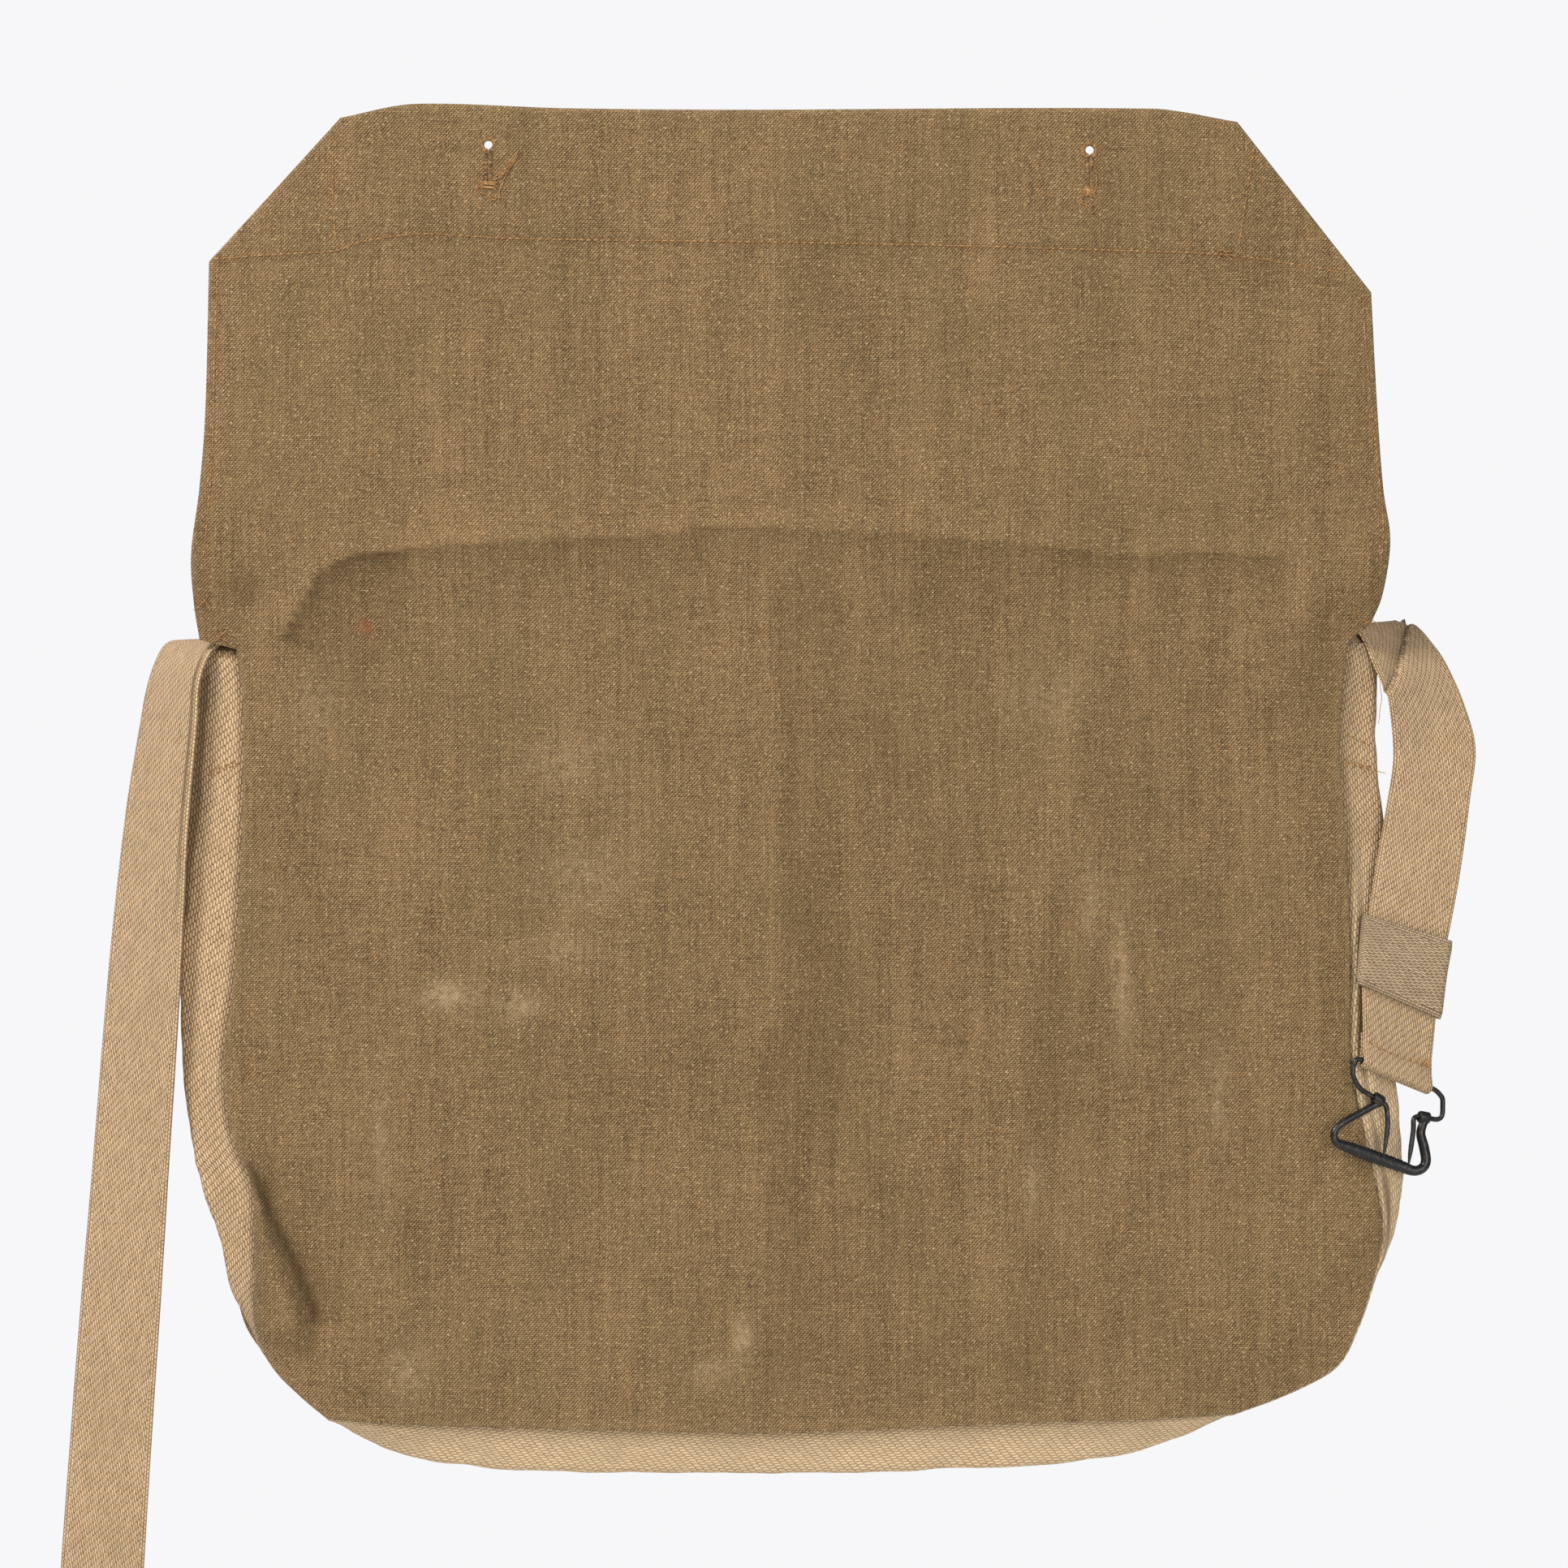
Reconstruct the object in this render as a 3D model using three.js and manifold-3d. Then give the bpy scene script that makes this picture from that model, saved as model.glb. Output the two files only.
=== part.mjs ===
// A flat canvas haversack, seen from its back with the flap raised, as it hangs by the flap's edge.
// Millimetres. X runs across the bag, +Y goes from the back panel to the front panel, +Z is up.
// The origin is the middle of the flap's top edge, on the outer face of the cloth.

import * as THREE from "three";
import { mergeVertices } from "three/addons/utils/BufferGeometryUtils.js";
import Module from "manifold-3d";

const wasm = await Module();
wasm.setup();

// Driving sizes of the bag
const flapWidth = 421;
const flapRise = 187;
const bodyWidth = 387;
const bodyHeight = 279;
const clothThickness = 1.2;
const hemThickness = 2.4;
const sideHem = 5;
const mouthHem = 12;
const foldHeight = 2.5;
const creaseHeight = 2;
const cornerFoldHeight = 3;
const frontRestDepth = 12;

// Driving sizes of the webbing
const webbingWidth = 30;
const webbingThickness = 1.5;
const seamMargin = 4;
const gussetDrop = 2;
const shoulderStrapLength = 354;
const shoulderStrapLeg = 46;
const hookStrapLength = 150;
const hookStrapLeg = 48;
const keeperThickness = 1.4;
const sewnFold = 9;
const sewnWidth = 28;

// Driving sizes of the hook, its wire, the buttonholes and the buttons
const wireDiameter = 1.8;
const wireBend = 1.8;
const eyeDiameter = 4.3;
const eyeLength = 4;
const hookSlope = 0.407;
const hookTurn = 20;
const eyeletDiameter = 4;
const slitWidth = 1.2;
const slitLength = 12;
const buttonDiameter = 17;
const buttonThickness = 2.6;
const buttonHoleDiameter = 2;
const buttonHoleSpacing = 4;

// Clearances, and how far a strap's leg stands above the gusset and ends short of the front panel
const gap = 0.3;
const hemStep = 1;
const legRise = 1.5;
const legShort = 1.6;

const cloth = { color: 0x93784f, roughness: 0.95, metalness: 0 };
const webbing = { color: 0xc0a277, roughness: 0.92, metalness: 0 };
const keeperWebbing = { color: 0xa88e68, roughness: 0.92, metalness: 0 };
const blackSteel = { color: 0x383736, roughness: 0.45, metalness: 0.6 };
const buttonMaterial = { color: 0x6b5334, roughness: 0.5, metalness: 0 };

// Turns rows of numbers into rows with named columns.
function table(columns, rows) {
  return rows.map((row) => Object.fromEntries(columns.map((name, k) => [name, row[k]])));
}

// Outline of the flap, from its top edge down to the mouth.
// The sides are shares of flapWidth, and the heights below the top edge are shares of flapRise.
const flapRows = table(["leftDown", "left", "rightDown", "right"], [
  [0.015, -0.377, 0.023, 0.373],
  [0.286, -0.487, 0.344, 0.485],
  [0.558, -0.490, 0.558, 0.490],
  [0.710, -0.495, 0.710, 0.495],
  [0.833, -0.502, 0.810, 0.501],
  [0.924, -0.500, 0.909, 0.495],
  [0.998, -0.495, 0.967, 0.485],
]);

// Outline of the body, from the mouth down to the bottom seam: near is the back panel's edge, and
// far is the front panel's. Sides are shares of bodyWidth, heights below the mouth of bodyHeight.
const bodyRows = table(["leftDown", "leftNear", "leftFar", "rightDown", "rightNear", "rightFar"], [
  [0.011, -0.505, -0.546, 0.001, 0.507, 0.536],
  [0.062, -0.500, -0.546, 0.062, 0.502, 0.534],
  [0.144, -0.499, -0.550, 0.144, 0.499, 0.533],
  [0.267, -0.501, -0.554, 0.267, 0.506, 0.542],
  [0.420, -0.507, -0.558, 0.420, 0.509, 0.547],
  [0.533, -0.517, -0.556, 0.533, 0.509, 0.550],
  [0.625, -0.509, -0.548, 0.625, 0.521, 0.556],
  [0.687, -0.491, -0.538, 0.687, 0.532, 0.558],
  [0.748, -0.489, -0.523, 0.748, 0.538, 0.550],
  [0.810, -0.489, -0.512, 0.810, 0.529, 0.530],
  [0.871, -0.487, -0.500, 0.871, 0.514, 0.512],
  [0.917, -0.471, -0.475, 0.917, 0.495, 0.492],
  [0.953, -0.446, -0.447, 0.951, 0.450, 0.448],
  [0.982, -0.421, -0.421, 0.976, 0.402, 0.401],
]);

// Height of the flap's top edge and of its hem line below the top, as shares of flapRise.
const topEdge = table(["across", "down"], [
  [0, 0.015],
  [0.08, -0.011],
  [0.25, -0.003],
  [0.43, 0],
  [0.91, -0.002],
  [1, 0.023],
]);
const hemLine = table(["across", "down"], [
  [0, 0.286],
  [0.11, 0.264],
  [0.18, 0.234],
  [0.45, 0.249],
  [0.87, 0.270],
  [1, 0.344],
]);

// Height of the bottom seams below the mouth, as shares of bodyHeight.
const bottomEdge = table(["across", "near", "far"], [
  [0, 0.982, 0.985],
  [0.07, 0.989, 1.026],
  [0.18, 0.993, 1.047],
  [0.35, 0.998, 1.052],
  [0.50, 1.000, 1.053],
  [0.70, 0.991, 1.047],
  [0.80, 0.986, 1.041],
  [0.875, 0.984, 1.031],
  [0.93, 0.981, 1.010],
  [1, 0.976, 0.975],
]);

// Columns of the panels between their side hems, as shares of the panel's own width.
const columnShares = [0.07, 0.18, 0.27, 0.35, 0.43, 0.50, 0.57, 0.65, 0.70, 0.80, 0.875, 0.93];

// Where the panels' folds lie: rows of the tables above, and places and reaches across a row.
const flapFoldRow = 4;
const foldEnds = 0.125;
const centreCrease = { place: 0.5, reach: 0.12 };
const cornerFold = { place: 0.07, reach: 0.06, rows: [8, 10] };
const frontRise = { sides: 0.16, rows: 4 };

// Middle line of each strap. Side is a share of bodyWidth, down a share of the strap's own length
// below the mouth, depth a share of webbingWidth, turn the angle of its width about the vertical in
// degrees, and lean how much lower the right edge hangs, as a share of webbingWidth.
const strapColumns = ["side", "down", "depth", "turn", "lean"];
const shoulderStrapRows = table(strapColumns, [
  [-0.526, 0.004, 0.54, -46, 0],
  [-0.538, 0.000, 0.53, -46, 0],
  [-0.549, 0.004, 0.50, -47, 0],
  [-0.558, 0.021, 0.35, -50, 0],
  [-0.565, 0.049, 0.27, -48, 0],
  [-0.569, 0.089, 0.23, -44, 0],
  [-0.578, 0.170, 0.22, -38, 0],
  [-0.586, 0.275, 0.20, -30, 0],
  [-0.592, 0.364, 0.20, -26, 0],
  [-0.603, 0.533, 0.20, -22, 0],
  [-0.611, 0.654, 0.20, -17, 0],
  [-0.619, 0.775, 0.20, -14, 0],
  [-0.628, 0.922, 0.20, -10, 0],
  [-0.633, 1.009, 0.20, -8, 0],
]);
const hookStrapRows = table(strapColumns, [
  [0.526, -0.041, 0.57, 60, 0],
  [0.537, -0.050, 0.57, 55, 0],
  [0.547, -0.041, 0.53, 54, 0],
  [0.559, 0.001, 0.40, 48, 0],
  [0.571, 0.077, 0.28, 38, 0],
  [0.581, 0.172, 0.20, 24, -0.05],
  [0.586, 0.268, 0.17, 10, -0.10],
  [0.580, 0.382, 0.13, 5, -0.10],
  [0.572, 0.515, 0.10, 4, 0.05],
  [0.565, 0.620, 0.08, 8, 0.22],
  [0.558, 0.729, 0.07, 15, 0.34],
  [0.553, 0.847, 0.05, 18, 0.38],
]);
const keeperPlaces = [9.5, 10, 10.5, 11];

// The spring wire's corners and the thick bar's path, seen from the camera's side, about the middle
// of the strap's sewn fold. Every value is a share of webbingWidth, and fore is towards the viewer.
const wireCorners = table(["across", "down", "fore"], [
  [-0.186, 0.957, 0.085],
  [-0.110, 0.586, 0.03],
  [-0.119, 0.357, 0],
  [-0.462, 0.157, 0],
  [-0.535, -0.030, 0],
  [-0.480, -0.195, 0],
  [0.480, 0.195, 0],
  [0.562, 0.290, 0],
  [0.557, 0.557, 0],
  [0.205, 0.490, 0],
  [0.195, 0.652, 0.03],
  [0.114, 1.052, 0.085],
]);
const leftEye = { across: -0.22, from: 3, to: 2 };
const rightEye = { across: 0.333, from: 8, to: 9 };
const barPath = table(["across", "down", "high", "thick"], [
  [-0.225, 0.345, 0.087, 0.087],
  [-0.300, 0.382, 0.087, 0.087],
  [-0.414, 0.443, 0.087, 0.087],
  [-0.633, 0.557, 0.087, 0.087],
  [-0.729, 0.643, 0.087, 0.087],
  [-0.748, 0.719, 0.090, 0.087],
  [-0.710, 0.795, 0.100, 0.085],
  [-0.595, 0.843, 0.130, 0.080],
  [-0.290, 0.957, 0.160, 0.080],
  [0.024, 1.071, 0.150, 0.080],
  [0.205, 1.138, 0.120, 0.100],
  [0.310, 1.110, 0.120, 0.120],
  [0.357, 1.024, 0.120, 0.120],
  [0.333, 0.862, 0.120, 0.120],
  [0.295, 0.700, 0.110, 0.110],
  [0.333, 0.560, 0.100, 0.100],
]);

// Places of the buttonholes' eyelets, sideways from the middle, as shares of flapWidth, and down.
const buttonholes = table(["side", "down"], [
  [-0.2535, 0.066],
  [0.2495, 0.076],
]);

const mouthZ = -flapRise;
const radians = THREE.MathUtils.degToRad;

// Value of a table's column where its key column reaches a given place, in straight steps.
function lookup(rows, key, name, at) {
  const last = rows.length - 1;
  if (at <= rows[0][key]) return rows[0][name];
  if (at >= rows[last][key]) return rows[last][name];
  const k = rows.findIndex((row) => row[key] >= at);
  const share = (at - rows[k - 1][key]) / (rows[k][key] - rows[k - 1][key]);
  return THREE.MathUtils.lerp(rows[k - 1][name], rows[k][name], share);
}

// Value of a table's column at a place between two rows, on a smooth curve through the rows.
function between(rows, name, place) {
  const last = rows.length - 1;
  const k = Math.min(Math.floor(place), last - 1);
  const t = place - k;
  const p1 = rows[k][name];
  const p2 = rows[k + 1][name];
  const p0 = k > 0 ? rows[k - 1][name] : 2 * p1 - p2;
  const p3 = k + 2 <= last ? rows[k + 2][name] : 2 * p2 - p1;
  const rise = (p2 - p0) / 2;
  const fall = (p3 - p1) / 2;
  const t2 = t * t;
  const t3 = t2 * t;
  return (2 * t3 - 3 * t2 + 1) * p1 + (t3 - 2 * t2 + t) * rise + (3 * t2 - 2 * t3) * p2 + (t3 - t2) * fall;
}

// A closed body from points and triangles, turned so that its faces point out.
function closedBody(points, triangles) {
  const volume = triangles.reduce((sum, [a, b, c]) => {
    const cross = new THREE.Vector3().crossVectors(points[b], points[c]);
    return sum + points[a].dot(cross) / 6;
  }, 0);
  const facing = volume < 0 ? triangles.map(([a, b, c]) => [a, c, b]) : triangles;
  const geometry = new THREE.BufferGeometry();
  geometry.setAttribute("position", new THREE.Float32BufferAttribute(points.flatMap((p) => p.toArray()), 3));
  geometry.setIndex(facing.flat());
  return geometry;
}

// A closed body between two skins, each a grid of points with the same rows and columns.
function skinBody(outer, inner) {
  const rows = outer.length;
  const columns = outer[0].length;
  const points = [...outer.flat(), ...inner.flat()];
  const skin = rows * columns;
  const triangles = [];
  const quad = (a, b, c, d) => triangles.push([a, b, c], [a, c, d]);
  for (let i = 0; i < rows - 1; i += 1) {
    for (let j = 0; j < columns - 1; j += 1) {
      const a = i * columns + j;
      const b = a + 1;
      const c = a + columns + 1;
      const d = a + columns;
      quad(a, b, c, d);
      quad(skin + d, skin + c, skin + b, skin + a);
    }
  }
  const rim = [];
  for (let j = 0; j < columns; j += 1) rim.push(j);
  for (let i = 1; i < rows; i += 1) rim.push(i * columns + columns - 1);
  for (let j = columns - 2; j >= 0; j -= 1) rim.push((rows - 1) * columns + j);
  for (let i = rows - 2; i > 0; i -= 1) rim.push(i * columns);
  rim.forEach((a, k) => {
    const b = rim[(k + 1) % rim.length];
    quad(b, a, skin + a, skin + b);
  });
  return closedBody(points, triangles);
}

// A webbing of even thickness along sections, each a row of points across the webbing's middle.
function ribbon(sections, thickness) {
  const facing = (i, j, step) => {
    const along = new THREE.Vector3().subVectors(
      sections[Math.min(i + 1, sections.length - 1)][j],
      sections[Math.max(i - 1, 0)][j],
    );
    const across = new THREE.Vector3().subVectors(sections[i][j + step], sections[i][j]).multiplyScalar(step);
    return along.cross(across).normalize();
  };
  const shift = (side) => sections.map((section, i) => section.map((point, j) => {
    const before = facing(i, j, j > 0 ? -1 : 1);
    const after = facing(i, j, j < section.length - 1 ? 1 : -1);
    const normal = before.clone().add(after).normalize();
    const reach = side * thickness / 2 / Math.max(normal.dot(before), 0.6);
    return point.clone().addScaledVector(normal, reach);
  }));
  return skinBody(shift(1), shift(-1));
}

// A rod of changing oval section along frames, each with a middle, two directions and half sizes.
function ovalRod(frames, sides) {
  const points = [];
  const triangles = [];
  frames.forEach(({ middle, first, second, high, thick }) => {
    for (let k = 0; k < sides; k += 1) {
      const angle = (2 * Math.PI * k) / sides;
      const point = middle.clone().addScaledVector(first, high * Math.cos(angle));
      points.push(point.addScaledVector(second, thick * Math.sin(angle)));
    }
  });
  for (let i = 0; i < frames.length - 1; i += 1) {
    for (let k = 0; k < sides; k += 1) {
      const a = i * sides + k;
      const b = i * sides + ((k + 1) % sides);
      triangles.push([a, b, b + sides], [a, b + sides, a + sides]);
    }
  }
  const start = points.push(frames[0].middle.clone()) - 1;
  const end = points.push(frames[frames.length - 1].middle.clone()) - 1;
  const lastRing = (frames.length - 1) * sides;
  for (let k = 0; k < sides; k += 1) {
    const next = (k + 1) % sides;
    triangles.push([start, next, k], [end, lastRing + k, lastRing + next]);
  }
  return closedBody(points, triangles);
}

function toManifold(geometry) {
  const bare = geometry.clone();
  bare.deleteAttribute("normal");
  bare.deleteAttribute("uv");
  const merged = mergeVertices(bare, 1e-4);
  const vertProperties = new Float32Array(merged.attributes.position.array);
  const triVerts = new Uint32Array(merged.index.array);
  return new wasm.Manifold(new wasm.Mesh({ numProp: 3, vertProperties, triVerts }));
}

function fromManifold(manifold) {
  const { vertProperties, triVerts } = manifold.getMesh();
  const geometry = new THREE.BufferGeometry();
  geometry.setAttribute("position", new THREE.BufferAttribute(vertProperties, 3));
  geometry.setIndex(new THREE.BufferAttribute(triVerts, 1));
  return geometry;
}

// A round pin between two points.
function pin(from, to, diameter, sides) {
  const along = new THREE.Vector3().subVectors(to, from);
  const geometry = new THREE.CylinderGeometry(diameter / 2, diameter / 2, along.length(), sides);
  const upright = new THREE.Vector3(0, 1, 0);
  const turn = new THREE.Quaternion().setFromUnitVectors(upright, along.clone().normalize());
  geometry.applyQuaternion(turn);
  const middle = new THREE.Vector3().addVectors(from, to).multiplyScalar(0.5);
  return geometry.translate(middle.x, middle.y, middle.z);
}

function part(name, geometry, look) {
  const mesh = new THREE.Mesh(geometry, new THREE.MeshStandardMaterial(look));
  mesh.name = name;
  return mesh;
}

// Columns of a panel row, from its left edge to its right edge, with a side hem of fixed width.
function panelColumns(left, right) {
  const width = right - left;
  const inner = columnShares.map((share) => left + share * width);
  return [left, left + sideHem, ...inner, right - sideHem, right];
}

// Place across a row between its side hems: 0 and 1 on the hems' inner edges.
function placeAcross(x, left, right) {
  return THREE.MathUtils.clamp((x - left - sideHem) / (right - left - 2 * sideHem), 0, 1);
}

// A tent shape: 1 at the middle and 0 at the reach to either side.
function tent(at, middle, reach) {
  return Math.max(0, 1 - Math.abs(at - middle) / reach);
}

// Rows of the body outline in millimetres, from the mouth to the bottom seam.
const outline = bodyRows.map((row) => ({
  near: {
    left: { x: row.leftNear * bodyWidth, z: mouthZ - row.leftDown * bodyHeight },
    right: { x: row.rightNear * bodyWidth, z: mouthZ - row.rightDown * bodyHeight },
  },
  far: {
    left: { x: row.leftFar * bodyWidth, z: mouthZ - row.leftDown * bodyHeight },
    right: { x: row.rightFar * bodyWidth, z: mouthZ - row.rightDown * bodyHeight },
  },
}));

// The gusset and the front panel start a little below the mouth's own line.
const sewnOutline = outline.map(({ near, far }, k) => {
  const drop = k === 0 ? gussetDrop : 0;
  const lowered = (edge) => ({
    left: { x: edge.left.x, z: edge.left.z - drop },
    right: { x: edge.right.x, z: edge.right.z - drop },
  });
  return { near: lowered(near), far: lowered(far) };
});

// Points of a bottom seam, left to right, ends included.
function bottomPoints(edge) {
  const { left, right } = outline[outline.length - 1][edge];
  return panelColumns(left.x, right.x).map((x) => {
    const across = (x - left.x) / (right.x - left.x);
    return { x, z: mouthZ - lookup(bottomEdge, "across", edge, across) * bodyHeight };
  });
}

// The seam as one line: down the left side, along the bottom and up the right side.
function seamLine(edge) {
  const last = sewnOutline.length - 1;
  const down = sewnOutline.slice(0, last).map((row) => row[edge].left);
  const up = sewnOutline.slice(0, last).reverse().map((row) => row[edge].right);
  return [...down, ...bottomPoints(edge), ...up];
}

// Inward direction of the seam at each of its points.
function inward(line) {
  return line.map((_, k) => {
    const before = line[Math.max(k - 1, 0)];
    const after = line[Math.min(k + 1, line.length - 1)];
    return new THREE.Vector2(-(after.z - before.z), after.x - before.x).normalize();
  });
}

const nearLine = seamLine("near");
const farLine = seamLine("far");
const nearInward = inward(nearLine);
const farInward = inward(farLine);

// Middle depth of the gusset's near margin, which lies behind the back panel's hem.
const nearDepth = hemThickness + gap + webbingThickness / 2;
const slantWidth = webbingWidth - 2 * seamMargin;

// Where the slanted wall turns into the far margin, seen from behind.
const farTurns = farLine.map((far, k) => ({
  x: far.x + farInward[k].x * seamMargin,
  z: far.z + farInward[k].y * seamMargin,
}));

// Depth of the slanted wall at each point of the seam, evened out with its neighbours.
const wallDepths = nearLine.map((near, k) => {
  const seen = Math.hypot(farTurns[k].x - near.x, farTurns[k].z - near.z);
  return Math.sqrt(Math.max(slantWidth ** 2 - seen ** 2, (slantWidth / 2) ** 2));
});
const evenDepths = wallDepths.map((depth, k) => {
  const before = wallDepths[Math.max(k - 1, 0)];
  const after = wallDepths[Math.min(k + 1, wallDepths.length - 1)];
  return (before + 2 * depth + after) / 4;
});

// The gusset's section at each point of the seam: near margin, slanted wall and far margin.
const gussetSections = nearLine.map((near, k) => {
  const far = farLine[k];
  const nearIn = nearInward[k];
  const turn = farTurns[k];
  const farDepth = nearDepth + evenDepths[k];
  return [
    new THREE.Vector3(near.x + nearIn.x * seamMargin, nearDepth, near.z + nearIn.y * seamMargin),
    new THREE.Vector3(near.x, nearDepth, near.z),
    new THREE.Vector3(turn.x, farDepth, turn.z),
    new THREE.Vector3(far.x, farDepth, far.z),
  ];
});

function gussetBand() {
  return part("gusset_band", ribbon(gussetSections, webbingThickness), webbing);
}

// Back panel and flap, one cloth. The outer face is flat but for its folds.
function backPanel() {
  const flap = flapRows.map((row) => ({
    left: { x: row.left * flapWidth, z: -row.leftDown * flapRise },
    right: { x: row.right * flapWidth, z: -row.rightDown * flapRise },
  }));
  const hemStart = { ...flap[1], line: hemLine, lineSize: flapRise, base: 0 };
  const hemEnd = {
    left: { x: flap[1].left.x, z: flap[1].left.z - hemStep },
    right: { x: flap[1].right.x, z: flap[1].right.z - hemStep },
    line: hemLine,
    lineSize: flapRise,
    base: -hemStep,
  };
  const lastRow = outline[outline.length - 1].near;
  const bottom = { ...lastRow, line: bottomEdge, lineSize: bodyHeight, base: mouthZ };
  const bottomHem = { ...bottom, base: mouthZ + sideHem };
  const rows = [
    { ...flap[0], line: topEdge, lineSize: flapRise, base: 0, hem: true },
    { ...hemStart, hem: true },
    hemEnd,
    ...flap.slice(2).map((row, k) => ({ ...row, fold: k + 2 === flapFoldRow })),
    ...outline.slice(0, -1).map((row, k) => ({ ...row.near, body: k })),
    { ...bottomHem, hem: true },
    { ...bottom, hem: true },
  ];
  const outer = [];
  const inner = [];
  rows.forEach((row, i) => {
    const xs = panelColumns(row.left.x, row.right.x);
    const last = xs.length - 1;
    const front = [];
    const back = [];
    xs.forEach((x, j) => {
      const across = (x - row.left.x) / (row.right.x - row.left.x);
      const column = row.line === bottomEdge ? "near" : "down";
      const lineZ = row.line ? row.base - lookup(row.line, "across", column, across) * row.lineSize : 0;
      const z = row.line ? lineZ : THREE.MathUtils.lerp(row.left.z, row.right.z, across);
      const place = placeAcross(x, row.left.x, row.right.x);
      const inside = Math.min(1, place / foldEnds, (1 - place) / foldEnds);
      const edgeRow = i < 3 || i > rows.length - 3;
      const fold = row.fold ? foldHeight * inside : 0;
      const crease = edgeRow ? 0 : creaseHeight * tent(place, centreCrease.place, centreCrease.reach);
      const inCorner = row.body >= cornerFold.rows[0] && row.body <= cornerFold.rows[1];
      const corner = inCorner ? cornerFoldHeight * tent(place, cornerFold.place, cornerFold.reach) : 0;
      const y = -Math.max(fold, crease, corner);
      const onHem = row.hem || j < 2 || j > last - 2;
      front.push(new THREE.Vector3(x, y, z));
      back.push(new THREE.Vector3(x, y + (onHem ? hemThickness : clothThickness), z));
    });
    outer.push(front);
    inner.push(back);
  });
  let panel = toManifold(skinBody(outer, inner));
  buttonholes.forEach(({ side, down }) => {
    const eyelet = new THREE.Vector3(side * flapWidth, 0, -down * flapRise);
    const through = new THREE.Vector3(0, 2 * hemThickness, 0);
    const hole = pin(eyelet.clone().sub(through), eyelet.clone().add(through), eyeletDiameter, 12);
    const slit = new THREE.BoxGeometry(slitWidth, 4 * hemThickness, slitLength);
    slit.translate(eyelet.x, 0, eyelet.z - eyeletDiameter / 3 - slitLength / 2);
    panel = panel.subtract(toManifold(hole)).subtract(toManifold(slit));
  });
  return part("back_panel", fromManifold(panel), cloth);
}

// Camera-side depth of the front panel where its edge is sewn to the gusset's far margin.
const frontEdgeDepths = gussetSections.map((section) => section[3].y + webbingThickness / 2 + 2 * gap);

// Front panel: its edges lie behind the gusset's far margin, and its middle rests near the back.
function frontPanel() {
  const last = sewnOutline.length - 1;
  const bottom = bottomPoints("far");
  const bottomDepths = bottom.map((_, j) => frontEdgeDepths[last + j]);
  const count = frontEdgeDepths.length;
  const rows = [];
  const addRow = (k, share) => {
    const a = sewnOutline[k];
    const b = sewnOutline[Math.min(k + 1, last)];
    const mix = (side, key) => THREE.MathUtils.lerp(a.far[side][key], b.far[side][key], share);
    const depth = (at) => THREE.MathUtils.lerp(frontEdgeDepths[at(k)], frontEdgeDepths[at(k + 1)], share);
    rows.push({
      left: { x: mix("left", "x"), z: mix("left", "z"), y: depth((n) => n) },
      right: { x: mix("right", "x"), z: mix("right", "z"), y: depth((n) => count - 1 - n) },
    });
  };
  const firstStep = outline[0].far.left.z - gussetDrop - outline[1].far.left.z;
  addRow(0, 0);
  addRow(0, (mouthHem - hemStep) / firstStep);
  addRow(0, mouthHem / firstStep);
  for (let k = 1; k < last; k += 1) addRow(k, 0);
  const outer = [];
  const inner = [];
  const gridRows = [...rows, { bottomLift: sideHem }, { bottomLift: 0 }];
  gridRows.forEach((row, i) => {
    const isBottom = row.bottomLift !== undefined;
    const left = isBottom ? bottom[0] : row.left;
    const right = isBottom ? bottom[bottom.length - 1] : row.right;
    const xs = panelColumns(left.x, right.x);
    const front = [];
    const back = [];
    xs.forEach((x, j) => {
      const across = (x - left.x) / (right.x - left.x);
      const z = isBottom ? bottom[j].z + row.bottomLift : THREE.MathUtils.lerp(left.z, right.z, across);
      const place = placeAcross(x, left.x, right.x);
      const edge = isBottom ? bottomDepths[j] : THREE.MathUtils.lerp(row.left.y, row.right.y, place);
      const inRow = THREE.MathUtils.smoothstep(Math.min(place, 1 - place), 0, frontRise.sides);
      const fromBottom = rows.length - 2 - i;
      const inColumn = isBottom ? 0 : THREE.MathUtils.smoothstep(fromBottom, 0, frontRise.rows);
      const y = THREE.MathUtils.lerp(edge, frontRestDepth, inRow * inColumn);
      const onHem = i < 2 || isBottom || j < 2 || j > xs.length - 3;
      front.push(new THREE.Vector3(x, y, z));
      back.push(new THREE.Vector3(x, y + (onHem ? hemThickness : clothThickness), z));
    });
    outer.push(front);
    inner.push(back);
  });
  return part("front_panel", skinBody(outer, inner), cloth);
}

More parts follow.
